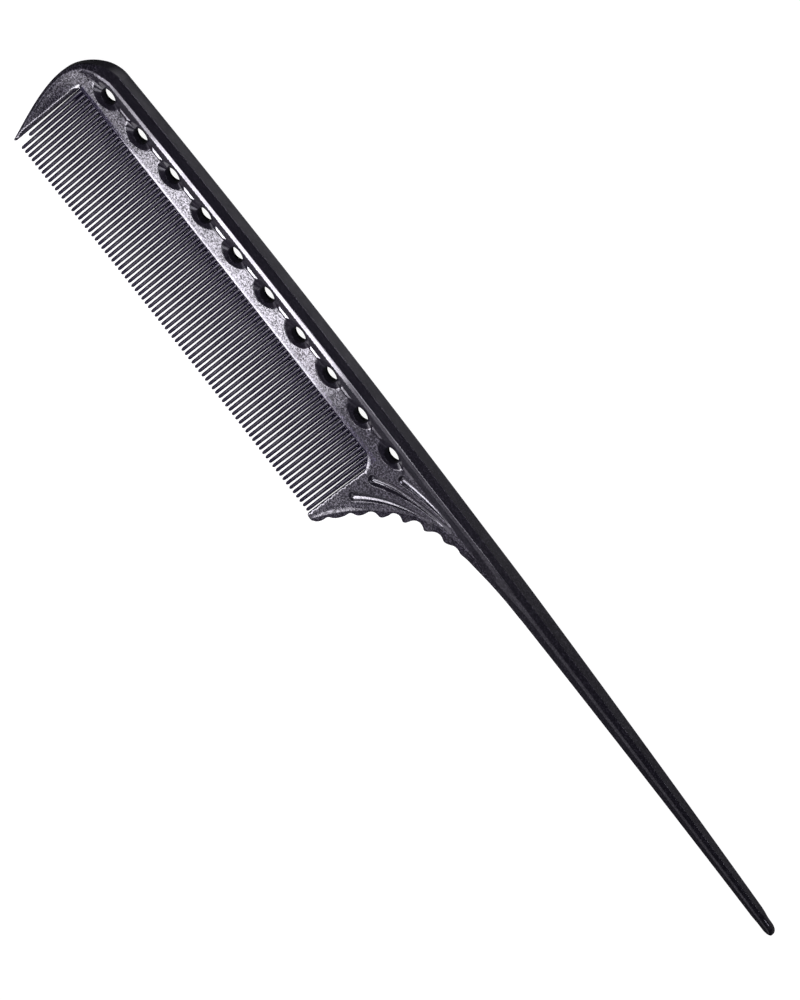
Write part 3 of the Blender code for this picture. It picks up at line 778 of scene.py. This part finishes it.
def build_plan():
    """Points and triangles of the whole plan without teeth and root strip."""
    plan = Plan()
    plan.line(OUTLINE, closed=True)
    add_hole_loops(plan)
    add_seams(plan)
    # the face edge runs on to meet the outline at the heel tip
    face = respace(FACE, 0.3)
    plan.line(face[face[:, 0] <= NECK_X1])
    plan.line([HEEL_TIP[-2], face[0]], merge=0.03)
    add_edge_loops(plan)
    # rows along the back of the head, closer together from the rib's end on
    coarse = np.arange(CORNER_X + 0.4, HEEL_X1, 0.8)
    fine = np.arange(CORNER_X + 0.2, HEEL_X1, 0.4)
    for depth in BACK_ROW_DEPTHS:
        plan.fill(below_back(coarse if depth < SEAM_D else fine, depth), 0.05)
    add_groove_rows(plan)
    add_bowl_contours(plan)
    for offset in (0.12, -0.12, 0.3, -0.3):
        plan.fill(face + left_normals(unit_tangents(face)) * offset, 0.09)
    tail_x = np.arange(NECK_X1 + 0.4, LENGTH - 1.0, 0.8)
    for depth in TAIL_ROWS:
        plan.fill(below_back(tail_x, depth * tail_scale(tail_x)), 0.05)
    # general filling: fine round the bowls, coarse below them, then the solid parts
    cloud = lattice(5.0, 104.5, -13.0, 0.0, 0.27)
    depth = back_y(cloud[:, 0]) - cloud[:, 1]
    plan.fill(cloud[(depth > 3.0) & (depth < 8.3)], 0.16)
    cloud = lattice(5.0, 104.5, -13.0, 0.0, 0.55)
    depth = back_y(cloud[:, 0]) - cloud[:, 1]
    plan.fill(cloud[depth >= 8.0], 0.33)
    for x0, x1, y0, y1, step, spacing in LATTICES:
        cloud = lattice(x0, x1, y0, y1, step)
        plan.fill(cloud[in_outline(cloud)], spacing)
    return triangulate(plan)


def triangulate(plan):
    cloud = np.array(plan.points)
    keep = on_material(cloud, 0.999)
    keep[np.unique(plan.edges)] = True
    remap = -np.ones(len(cloud), int)
    remap[keep] = np.arange(keep.sum())
    edges = sorted({(int(min(remap[a], remap[b])), int(max(remap[a], remap[b])))
                    for a, b in plan.edges if a != b})
    result = delaunay_2d_cdt([Vector(p) for p in cloud[keep].tolist()], edges, [], 0, 1e-5, False)
    xy = np.array([(v[0], v[1]) for v in result[0]], float)
    triangles = np.array([t for t in result[2] if len(t) == 3], int)
    triangles = triangles[on_material(xy[triangles].mean(1), 0.997)]
    a, b, c = (xy[triangles[:, i]] for i in range(3))
    area = ((b[:, 0] - a[:, 0]) * (c[:, 1] - a[:, 1])
            - (b[:, 1] - a[:, 1]) * (c[:, 0] - a[:, 0]))
    triangles[area < 0] = triangles[area < 0][:, ::-1]
    return xy, triangles[np.abs(area) > 1e-9]


# ---------------------------------------------------------------------- members
WORLD_OFFSET = np.array([-REST_X, -(float(back_y(REST_X)) - CREST_MID), CREST_HALF])


def member_of(centres):
    """Member name for each triangle centre; later rules win."""
    x, y = centres[:, 0], centres[:, 1]
    depth = back_y(x) - y
    names = np.full(len(centres), "heel_guard", dtype=object)
    below_face = y < np.interp(x, FACE[:, 0], FACE[:, 1])
    names[(x > 99.995) & below_face & (x < HEEL_X1)] = "finger_grip"
    names[(x < WEB_X1) & (y > strip_top(x))] = "hole_web"
    names[(depth < SEAM_D) & (x < HEEL_X1)] = "back_rib"
    names[(x < WEB_X0) | ((x < CORNER_X) & (depth < SEAM_D))] = "front_guard"
    names[x >= HEEL_X1] = "tail_neck"
    names[x >= NECK_X1] = "tail_shank"
    names[x >= SHANK_X1] = "tail_tip"
    return names


def add_piece(node, verts, faces, polish, normals=None):
    """Smooth mesh object from comb coordinates, with its polish attribute."""
    mesh = bpy.data.meshes.new(node + "_skin")
    world_verts = (np.asarray(verts, float) + WORLD_OFFSET) * MM
    mesh.from_pydata([tuple(v) for v in world_verts], [], faces)
    mesh.update()
    attribute = mesh.attributes.new("polish", "FLOAT", "POINT")
    attribute.data.foreach_set("value", np.asarray(polish, dtype=np.float32))
    mesh.polygons.foreach_set("use_smooth", [True] * len(mesh.polygons))
    if normals is not None:
        mesh.normals_split_custom_set([Vector(v).normalized() for v in normals])
    piece = bpy.data.objects.new(node + "_skin", mesh)
    bpy.context.scene.collection.objects.link(piece)
    return piece


def border_edges(triangles):
    """Edges used by one triangle only, with the material on their left."""
    edges = [edge for a, b, c in triangles for edge in ((a, b), (b, c), (c, a))]
    uses = Counter(tuple(sorted(edge)) for edge in edges)
    return [edge for edge in edges if uses[tuple(sorted(edge))] == 1]


def make_member(name, xy, triangles, h, polish, slopes):
    """Closed mesh of one member: upper surface, its mirror image and the walls."""
    ids = np.unique(triangles)
    count = len(ids)
    local = {v: i for i, v in enumerate(ids.tolist())}
    triangles = triangles.tolist()
    verts = np.zeros((2 * count, 3))
    verts[:, :2] = np.vstack([xy[ids], xy[ids]])
    verts[:, 2] = np.concatenate([h[ids], -h[ids]])

    border = border_edges(triangles)
    ends = np.array(border, int)
    along = xy[ends[:, 1]] - xy[ends[:, 0]]
    along /= np.hypot(along[:, 0], along[:, 1])[:, None] + 1e-12
    outward = points(along[:, 1], -along[:, 0])
    meeting = {}                         # normals of the walls that meet at a vertex
    for edge, wall in zip(border, outward):
        for v in edge:
            meeting.setdefault(v, []).append(wall)

    def end_normal(v, wall):
        """Walls that turn gently share one normal at the vertex."""
        total = np.zeros(2)
        for other in meeting[v]:
            if float(other @ wall) > 0.70:
                total += other
        return total / (np.hypot(*total) + 1e-12)

    x, y = xy[ids, 0], xy[ids, 1]
    on_edge = edge_distance(x, y) < 0.004
    for i in range(HOLES):
        on_edge |= np.abs(hole_ratio(x, y, i) - 1.0) < 0.002
    # on visible edges the surface normal leans outwards
    leaning = {}
    for edge, wall in zip(border, outward):
        for v in edge:
            if on_edge[local[v]]:
                normal = end_normal(v, wall)
                leaning[v] = (normal[0] * 0.94, normal[1] * 0.94, 0.34)

    faces, normals = [], []
    for triangle in triangles:
        face = [local[v] for v in triangle]
        upper = [leaning.get(v, tuple(slopes[v])) for v in triangle]
        faces.append(face)
        normals.extend(upper)
        faces.append([i + count for i in reversed(face)])
        normals.extend([(n[0], n[1], -n[2]) for n in reversed(upper)])
    for (a, b), wall in zip(border, outward):
        i, j = local[a], local[b]
        normal_a, normal_b = ((*end_normal(v, wall), 0) for v in (a, b))
        faces.append([j, i, i + count, j + count])
        normals.extend([normal_b, normal_a, normal_a, normal_b])
    return add_piece(name, verts, faces, np.tile(polish[ids], 2), normals)


def make_members():
    xy, triangles = build_plan()
    h, polish = height(xy[:, 0], xy[:, 1])
    slopes = surface_normals(xy)
    names = member_of(xy[triangles].mean(1))
    return {name: make_member(name, xy, triangles[names == name], h, polish, slopes)
            for name in sorted(set(names))}


# ------------------------------------------------------------------------ teeth
RING = 24
_angles = np.arange(RING) * 2 * np.pi / RING
RING_X, RING_Z = np.cos(_angles), np.sin(_angles)
_largest = np.maximum(np.abs(RING_X), np.abs(RING_Z))
SQUARE_X, SQUARE_Z = RING_X / _largest, RING_Z / _largest
UPPER_SIDE = range(9, 2, -1)         # ring vertices along the strip's upper face
ROOT_HALF = float(shoulder(np.array([0.0]))[0])

TIP_ROUND = 0.62                     # length of the rounded tip
TIP_STEPS = (0.35, 0.62, 0.83, 0.96)
TOOTH_STEPS = [0.07, 0.17, 0.32, 0.55, 0.9, 1.4, 2.1, 3.2, 5.0, 7.5, 10.5, 13.5, 16.2]
TOOTH_WIDTH = 1.10                   # greatest width at the root
TOOTH_THICK, TIP_THICK = 2.28, 0.95
# by distance below the root: levelling of the ring, square to round, width, exponent
LEVELLING = ([0.0, 0.3, 0.9, 1.4, 2.1, 3.2], [0.0, 0.10, 0.32, 0.52, 0.8, 1.0])
ROUNDING = ([0.0, 0.07, 0.17, 0.32, 0.55, 0.9], [0.0, 0.42, 0.70, 0.88, 0.97, 1.0])
WIDTH_SHARE = ([0.0, 2.4, 4.0, 6.0, 8.4, 12.0, 16.0, 21.0],
               [1.0, 0.99, 0.972, 0.925, 0.855, 0.78, 0.725, 0.665])
EXPONENT = ([0.0, 0.6, 8.0, 20.0], [2.6, 2.05, 2.0, 2.0])
STRIP_ROWS = [0.05, 0.11, 0.17, 0.23, 0.30, 0.40, 0.55, 0.75, 0.95, 1.10, 1.22]


def tooth_cells():
    """Place, lean, tip and borders of the lead tooth and every tooth behind it."""
    cells = [{"x": TOOTH_X0 - PITCH_FRONT, "lean": LEAN_FRONT, "tip": LEAD_TIP_Y}]
    x = TOOTH_X0
    for i in range(TEETH):
        s = i / (TEETH - 1)
        cells.append({"x": x, "lean": lerp(LEAN_FRONT, LEAN_REAR, s), "tip": tooth_tip_y(x)})
        x += lerp(PITCH_FRONT, PITCH_REAR, s)
    for a, b in zip(cells, cells[1:]):
        a["right"] = b["left"] = 0.5 * (a["x"] + b["x"])
    cells[0]["left"] = LEAD_X0
    cells[-1]["right"] = HEEL_IN
    return cells


class WeldedMesh:
    """Vertices, faces and polish; a vertex asked for twice is made once."""

    def __init__(self):
        self.verts, self.faces, self.polish = [], [], []
        self.known = {}

    def vert(self, x, y, z, polish=1.0):
        x, y, z = float(x), float(y), float(z)
        key = (round(x, 5), round(y, 5), round(z, 5))
        if key not in self.known:
            self.known[key] = len(self.verts)
            self.verts.append((x, y, z))
            self.polish.append(float(polish))
        return self.known[key]

    def row(self, x, y, z, polish=1.0):
        return [self.vert(*values) for values in zip(*np.broadcast_arrays(x, y, z, polish))]


def add_tooth(mesh, cell):
    """One tooth; returns the x places where it meets the strip's upper face."""
    left, right, tip = cell["left"], cell["right"], cell["tip"]
    root_x = 0.5 * (left + right) + 0.5 * (right - left) * SQUARE_X
    base_y = strip_base(root_x)
    top = float(strip_base(cell["x"]))
    length = top - tip

    def centre_x(y):
        return cell["x"] + cell["lean"] * (LEAN_Y - y)

    # (distance below the root, shrink); the ring where the tip starts is laid twice
    rings = [(q, 1.0) for q in TOOTH_STEPS + [length - TIP_ROUND] * 2]
    rings += [(length - TIP_ROUND + TIP_ROUND * step, math.sqrt(1.0 - step ** 2))
              for step in TIP_STEPS]
    previous = mesh.row(root_x, base_y, ROOT_HALF * SQUARE_Z)
    for q, shrink in rings:
        level = float(np.interp(q, *LEVELLING))
        rounding = float(np.interp(q, *ROUNDING))
        share = float(np.interp(q, *WIDTH_SHARE))
        power = 2 / float(np.interp(q, *EXPONENT))
        half_width = min(right - left, TOOTH_WIDTH) * share * 0.5 * shrink
        half_thick = lerp(TOOTH_THICK, TIP_THICK, min(q / length, 1.0)) * 0.5 * shrink
        x = centre_x(top - q) + signed_power(RING_X, power) * half_width
        z = signed_power(RING_Z, power) * half_thick
        # polish rises from 1 to 1.25 down the tooth, lowering its gloss: painted shade towards
        # the tips
        ring = mesh.row(lerp(root_x, x, rounding), lerp(base_y, top, level) - q,
                        lerp(ROOT_HALF * SQUARE_Z, z, rounding),
                        lerp(1.0, 1.25, smooth(q / 12.0)))
        for i in range(RING):
            j = (i + 1) % RING
            mesh.faces.append((previous[i], ring[i], ring[j], previous[j]))
        previous = ring
    point = mesh.vert(centre_x(tip), tip, 0.0)
    for i in range(RING):
        mesh.faces.append((previous[i], point, previous[(i + 1) % RING]))
    return [float(root_x[k]) for k in UPPER_SIDE]


def add_strip(mesh, places, first, last):
    """Root strip above the teeth, closed at its top and both ends."""
    columns = []
    for x in sorted({round(v, 7) for v in places}):
        if not columns or x - columns[-1] > 1e-4:
            columns.append(x)
    x = np.array(columns)
    base, top = strip_base(x), strip_top(x)
    cosine = 1.0 / np.sqrt(1.0 + np.gradient(root_line(x), x) ** 2)
    full = STRIP_UP + STRIP_DN
    levels = [base + np.minimum(q / cosine, (top - base) * (q / full)) for q in STRIP_ROWS]
    upper = [mesh.row(x, base, ROOT_HALF)]
    under = [mesh.row(x, base, -ROOT_HALF)]
    for y in levels + [top]:
        above = (y - base) * cosine
        z = shoulder(above)
        polish = 0.5 * fade_out(above, 0.95, 0.25)
        upper.append(mesh.row(x, y, z, polish))
        under.append(mesh.row(x, y, -z, polish))
    for u0, u1, l0, l1 in zip(upper, upper[1:], under, under[1:]):
        for i in range(len(x) - 1):
            mesh.faces.append((u0[i], u0[i + 1], u1[i + 1], u1[i]))
            mesh.faces.append((l0[i + 1], l0[i], l1[i], l1[i + 1]))
    for i in range(len(x) - 1):
        mesh.faces.append((upper[-1][i], upper[-1][i + 1], under[-1][i + 1], under[-1][i]))
    # end caps: down the upper rows, along the side of the end ring, up the under rows
    side_z = sorted(set(np.round(SQUARE_Z[np.abs(SQUARE_X) > 0.9999], 9)))
    for side, end in ((0, first["left"]), (-1, last["right"])):
        y = float(strip_base(end))
        middle = [mesh.vert(end, y, ROOT_HALF * z) for z in reversed(side_z[1:-1])]
        loop = [row[side] for row in reversed(upper)] + middle + [row[side] for row in under]
        mesh.faces.append(tuple(loop[::-1] if side == -1 else loop))


def make_row(node, cells):
    """A run of teeth with its piece of the root strip."""
    mesh = WeldedMesh()
    places = [x for cell in cells for x in add_tooth(mesh, cell)]
    add_strip(mesh, places, cells[0], cells[-1])
    piece = add_piece(node, mesh.verts, mesh.faces, mesh.polish)
    bm = bmesh.new()
    bm.from_mesh(piece.data)
    bmesh.ops.recalc_face_normals(bm, faces=bm.faces)
    bm.to_mesh(piece.data)
    bm.free()
    piece.data.set_sharp_from_angle(angle=math.radians(62))
    return piece


# -------------------------------------------------------------------- materials
class Nodes:
    """Adds nodes to an emptied tree; an input takes a number, a colour or a socket."""

    def __init__(self, owner):
        owner.use_nodes = True
        self.tree = owner.node_tree
        self.tree.nodes.clear()

    def add(self, kind, inputs=None, **settings):
        node = self.tree.nodes.new("ShaderNode" + kind)
        for name, value in settings.items():
            setattr(node, name, value)
        for key, value in (inputs or {}).items():
            if isinstance(value, bpy.types.NodeSocket):
                self.tree.links.new(value, node.inputs[key])
            else:
                node.inputs[key].default_value = value
        return node

    def math(self, operation, a, b, clamp=False):
        return self.add("Math", {0: a, 1: b}, operation=operation, use_clamp=clamp).outputs[0]

    def plus(self, a, b):
        return self.math("ADD", a, b)

    def times(self, a, b, clamp=False):
        return self.math("MULTIPLY", a, b, clamp)

    def spread(self, value, low, high, to_low, to_high, **settings):
        """value mapped from low..high to to_low..to_high, clamped."""
        return self.add("MapRange", {"From Min": low, "From Max": high, "To Min": to_low,
                                     "To Max": to_high, "Value": value},
                        clamp=True, **settings).outputs["Result"]

    def noise(self, vector, scale, detail, roughness, stretch=None):
        if stretch:
            mapping = self.add("Mapping", {"Scale": stretch, "Vector": vector})
            vector = mapping.outputs["Vector"]
        return self.add("TexNoise", {"Scale": scale, "Detail": detail, "Roughness": roughness,
                                     "Vector": vector}).outputs["Fac"]

    def mix_colour(self, factor, a, b):
        return self.add("Mix", {"Factor": factor, "A": a, "B": b},
                        data_type="RGBA").outputs["Result"]


def plastic(name, colour, rough, rough_polished, grain, wear, gloss, gloss_polished, speckle,
            fade=None):
    """Graphite black moulding: mould grain, mottled gloss, edges worn shiny.

    gloss_polished is one level, or the levels at polish 0.5, 1.0 and 1.25; the low level at 1.25
    is painted shade in the bowls and on the lower teeth.
    fade is (x from, x to, factor): the gloss falls off along the comb, a painted shade.
    """
    material = bpy.data.materials.new(name)
    nodes = Nodes(material)
    plus, times, spread = nodes.plus, nodes.times, nodes.spread
    place = nodes.add("TexCoord").outputs["Object"]
    # polish: 0 grain, 1 polished; over 1 on the lower teeth and in the bowls, lowering the gloss
    # there as painted shade
    polish_raw = nodes.add("Attribute", attribute_name="polish").outputs["Fac"]
    polish = nodes.math("MINIMUM", polish_raw, 1.0)
    grained = nodes.math("SUBTRACT", 1.0, polish)

    def noise(scale, detail, roughness, stretch=None):
        return nodes.noise(place, scale, detail, roughness, stretch)

    fine = noise(scale=2900.0, detail=2.0, roughness=0.6)            # 0.35 mm mould grain
    finer = noise(scale=9000.0, detail=1.0, roughness=0.5)
    mottle = noise(scale=620.0, detail=3.0, roughness=0.6)           # 1.6 mm patches
    cloud = noise(scale=210.0, detail=2.0, roughness=0.55, stretch=(0.8, 1.0, 1.0))
    drift = noise(scale=70.0, detail=2.0, roughness=0.5, stretch=(0.35, 1.0, 1.0))
    brushed = noise(scale=900.0, detail=2.0, roughness=0.55, stretch=(0.12, 1.0, 1.0))

    # roughness: each noise shifts it a little, worn edges are smoother
    rough_grained = plus(plus(spread(mottle, 0.3, 0.7, rough - 0.03, rough + 0.035),
                              spread(fine, 0.3, 0.7, -0.02, 0.03)),
                         spread(drift, 0.3, 0.7, -0.02, 0.025))
    rough_smooth = plus(spread(drift, 0.3, 0.7, rough_polished - 0.02, rough_polished + 0.05),
                        spread(brushed, 0.35, 0.65, -0.012, 0.03))
    rough_mix = plus(times(rough_grained, grained), times(rough_smooth, polish))
    pointiness = nodes.add("NewGeometry").outputs["Pointiness"]
    worn = times(spread(pointiness, 0.515, 0.60, 0.0, 1.0), spread(mottle, 0.35, 0.6, 0.3, 1.0))
    worn = times(worn, wear)
    roughness = nodes.math("SUBTRACT", rough_mix, times(worn, 0.10), clamp=True)

    # colour: black with a violet cast, paler flecks in the grain and on worn edges
    base = nodes.add("RGB")
    base.outputs[0].default_value = (*colour, 1.0)
    fleck = times(spread(fine, 0.50, 0.66, 0.0, 1.0), plus(times(grained, 0.8), 0.2))
    pale = (colour[0] * 6.0, colour[1] * 6.0, colour[2] * 5.6, 1.0)
    flecked = nodes.mix_colour(fleck, base.outputs[0], pale)
    tinted = nodes.mix_colour(times(worn, 0.5), flecked, (0.030, 0.029, 0.035, 1.0))

    # bump: grain fades where the mould is polished
    fine_bump = times(fine, plus(times(grained, grain), 0.05))
    finer_bump = times(finer, plus(times(grained, grain * 0.4), 0.03))
    patch_bump = plus(times(mottle, 0.10 + grain * 0.15), times(brushed, 0.06))
    relief = plus(plus(fine_bump, finer_bump), patch_bump)
    bump = nodes.add("Bump", {"Strength": 1.0, "Distance": 0.00002, "Height": relief})

    # specular level: by polish, broken up by specks and patches
    if isinstance(gloss_polished, tuple):
        half, full, over = gloss_polished
        level = plus(spread(polish_raw, 0.0, 0.5, gloss, half),
                     plus(spread(polish_raw, 0.5, 1.0, 0.0, full - half),
                          spread(polish_raw, 1.0, 1.25, 0.0, over - full)))
    else:
        level = plus(times(grained, gloss), times(polish, gloss_polished))
    specks = times(spread(fine, 0.36, 0.64, -1.0, 1.0), plus(times(grained, speckle), 0.16))
    specks = plus(specks, 1.0)
    patches = times(spread(mottle, 0.3, 0.7, 0.84, 1.16), spread(cloud, 0.35, 0.65, 0.80, 1.12))
    # painted shade: the gloss is dimmed along x, as if less light fell on that end of the comb
    if fade:
        axes = nodes.add("SeparateXYZ", {"Vector": place})
        level = times(level, spread(axes.outputs["X"], fade[0], fade[1], 1.0, fade[2]))
    specular = times(times(level, specks), patches, clamp=True)

    surface = nodes.add("BsdfPrincipled", {
        "Base Color": tinted, "Roughness": roughness, "Normal": bump.outputs["Normal"],
        "IOR": 1.50, "Specular IOR Level": specular, "Specular Tint": (0.95, 0.93, 1.0, 1.0)})
    nodes.add("OutputMaterial", {"Surface": surface.outputs["BSDF"]})
    return material


# fade on the rib and the tail dims their gloss along the comb: painted shade
MATERIALS = {
    "rib_plastic": plastic(
        "rib_plastic_fine", colour=(0.0056, 0.0051, 0.0074), rough=0.13, rough_polished=0.12,
        grain=0.3, wear=0.6, gloss=0.50, gloss_polished=0.56, speckle=0.55,
        fade=(0.018, 0.054, 0.45)),
    # the last gloss_polished level of face and teeth is low: painted shade in the bowls and on
    # the lower teeth
    "face_plastic": plastic(
        "face_plastic_fine", colour=(0.0062, 0.0056, 0.0082), rough=0.12, rough_polished=0.12,
        grain=0.35, wear=0.8, gloss=0.27, gloss_polished=(0.385, 0.75, 0.10), speckle=0.70),
    "tooth_plastic": plastic(
        "tooth_plastic_fine", colour=(0.0062, 0.0050, 0.0110), rough=0.12, rough_polished=0.14,
        grain=0.3, wear=0.5, gloss=0.29, gloss_polished=(0.55, 0.13, 0.055), speckle=0.4),
    "tail_plastic": plastic(
        "tail_plastic_fine", colour=(0.0056, 0.0051, 0.0072), rough=0.15, rough_polished=0.13,
        grain=0.6, wear=0.6, gloss=0.225, gloss_polished=0.252, speckle=0.9,
        fade=(0.064, 0.095, 0.70)),
}
SLOT_OF = {row["node"]: row["material_slot"] for row in frame["record"]["subparts"]}

# ------------------------------------------------------------------------ build
pieces = make_members()
cells = tooth_cells()
third = TEETH // 3
for node, first, end in (("lead_tooth", 0, 1), ("tooth_row_front", 1, 1 + third),
                         ("tooth_row_middle", 1 + third, 1 + 2 * third),
                         ("tooth_row_rear", 1 + 2 * third, None)):
    pieces[node] = make_row(node, cells[first:end])

body = "root" if "root" in frame["bodies"] else sorted(frame["bodies"])[0]
for node, piece in pieces.items():
    slot = SLOT_OF[node]
    piece.data.materials.append(MATERIALS[slot])
    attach(piece, body)
    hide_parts(node)

# ------------------------------------------------------------------------ stage
scene = bpy.context.scene
WHITE = (1.0, 1.0, 1.0, 1.0)
COOL_WHITE = (0.97, 0.96, 1.0, 1.0)


def floor_material_with_painted_shadow():
    """Pale to the camera; as a light on the comb, dim on the tooth side of y = 0, a painted
    shadow of the comb.
    """
    material = bpy.data.materials.new("pale_floor_painted_shadow")
    nodes = Nodes(material)
    is_camera = nodes.add("LightPath").outputs["Is Camera Ray"]
    position = nodes.add("NewGeometry").outputs["Position"]
    axes = nodes.add("SeparateXYZ", {0: position})
    # painted shadow: the floor's light is dim under the comb, on the tooth side of y = 0
    strength = nodes.spread(axes.outputs["Y"], 0.0, 0.0032, 0.06, 0.62,
                            interpolation_type="SMOOTHSTEP")
    glow = nodes.add("Emission", {"Color": COOL_WHITE, "Strength": strength})
    seen_glow = nodes.add("Emission", {"Color": WHITE, "Strength": 0.965})
    diffuse = nodes.add("BsdfDiffuse", {"Color": (0.12, 0.12, 0.125, 1.0)})
    seen = nodes.add("AddShader", {0: seen_glow.outputs[0], 1: diffuse.outputs[0]})
    mix = nodes.add("MixShader", {"Fac": is_camera, 1: glow.outputs[0], 2: seen.outputs[0]})
    nodes.add("OutputMaterial", {"Surface": mix.outputs[0]})
    return material


def make_floor():
    bm = bmesh.new()
    bmesh.ops.create_grid(bm, x_segments=4, y_segments=4, size=6.0)
    mesh = bpy.data.meshes.new("floor")
    bm.to_mesh(mesh)
    bm.free()
    floor = bpy.data.objects.new("floor", mesh)
    floor.location = (0.0, 0.0, -0.00002)
    scene.collection.objects.link(floor)
    mesh.materials.append(floor_material_with_painted_shadow())


def make_world():
    """White to the camera; otherwise a dim room, brighter towards -Y."""
    world = bpy.data.worlds.new("studio")
    scene.world = world
    nodes = Nodes(world)
    is_camera = nodes.add("LightPath").outputs["Is Camera Ray"]
    direction = nodes.add("TexCoord").outputs["Generated"]
    axes = nodes.add("SeparateXYZ", {0: direction})
    strength = nodes.spread(axes.outputs["Y"], 0.25, -0.85, 0.01, 0.10,
                            interpolation_type="SMOOTHSTEP")
    room = nodes.add("Background", {"Color": COOL_WHITE, "Strength": strength})
    seen = nodes.add("Background", {"Color": WHITE, "Strength": 1.0})
    mix = nodes.add("MixShader", {"Fac": is_camera, 1: room.outputs[0], 2: seen.outputs[0]})
    nodes.add("OutputWorld", {"Surface": mix.outputs[0]})


def softbox(name, at, look, size, radiance, colour):
    """Rectangular area light at one point, facing another, hidden from the camera."""
    light = bpy.data.lights.new(name, "AREA")
    light.shape = "RECTANGLE"
    light.size, light.size_y = size
    light.color = colour
    light.energy = radiance * math.pi * size[0] * size[1]
    holder = bpy.data.objects.new(name, light)
    scene.collection.objects.link(holder)
    at, look = Vector(at), Vector(look)
    turn = (at - look).to_track_quat("Z", "Y")
    holder.matrix_world = Matrix.Translation(at) @ turn.to_matrix().to_4x4()
    holder.visible_camera = False


def make_lights():
    # key: in the mirror direction of the faces
    softbox("key_softbox", at=(-0.0100, -0.092, 0.095), look=(-0.0100, -0.012, 0.003),
            size=(0.061, 0.082), radiance=21.0, colour=(0.98, 0.96, 1.0))
    # fill: wide and weak, farther out than the key
    softbox("fill_softbox", at=(0.1575, -0.26, 0.30), look=(0.1575, 0.0, 0.0),
            size=(0.385, 0.22), radiance=1.7, colour=(0.95, 0.92, 1.0))
    # side light for the -X flanks of the teeth
    softbox("side_softbox", at=(-0.185, -0.256, 0.248), look=(0.0, -0.01, 0.0),
            size=(0.17, 0.20), radiance=4.0, colour=(0.93, 0.90, 1.0))
    # overhead strip that draws the lines in the fan grooves
    softbox("groove_strip", at=(0.036, -0.026, 0.150), look=(0.036, -0.003, 0.002),
            size=(0.062, 0.024), radiance=21.0, colour=(0.96, 0.95, 1.0))
    # small glow on the front corner
    softbox("corner_glow", at=(-0.052, -0.0400, 0.047), look=(-0.052, 0.0025, 0.009),
            size=(0.022, 0.019), radiance=6.0, colour=(0.97, 0.95, 1.0))
    # narrow strip on the +Y side for the line along the edge of the back
    softbox("edge_strip", at=(0.04, 0.252, 0.162), look=(0.04, 0.0, 0.003),
            size=(0.34, 0.030), radiance=26.0, colour=(0.90, 0.88, 1.0))


def make_camera():
    """Long lens, 40 degrees off the face towards the back line, rolled."""
    lens, sensor = 1000.0, 36.0            # mm
    view_width = 0.19697                   # metres seen across at the target
    target = Vector((47.65, -8.69, 2.23)) * MM
    tilt = math.radians(40.0)
    cosine, sine = math.cos(tilt), math.sin(tilt)
    back = Vector((0.0, sine, cosine))
    across = Vector((0.0, cosine, -sine))
    right = 0.60433 * Vector((1.0, 0.0, 0.0)) + 0.79681 * across     # the roll
    right = (right - back * right.dot(back)).normalized()
    up = back.cross(right).normalized()

    camera = bpy.data.cameras.new("photo_camera")
    camera.lens = lens
    camera.sensor_width = sensor
    camera.sensor_fit = "AUTO"
    camera.clip_start = 0.01
    camera.clip_end = 50.0
    holder = bpy.data.objects.new("photo_camera", camera)
    scene.collection.objects.link(holder)
    place = target + back * (lens * view_width / sensor)
    turn = Matrix((right, up, back)).transposed()
    holder.matrix_world = Matrix.Translation(place) @ turn.to_4x4()
    scene.camera = holder


make_floor()
make_world()
make_lights()
make_camera()

scene.view_settings.view_transform = "Standard"
scene.view_settings.look = "None"
scene.view_settings.exposure = 0.0
scene.view_settings.gamma = 1.0
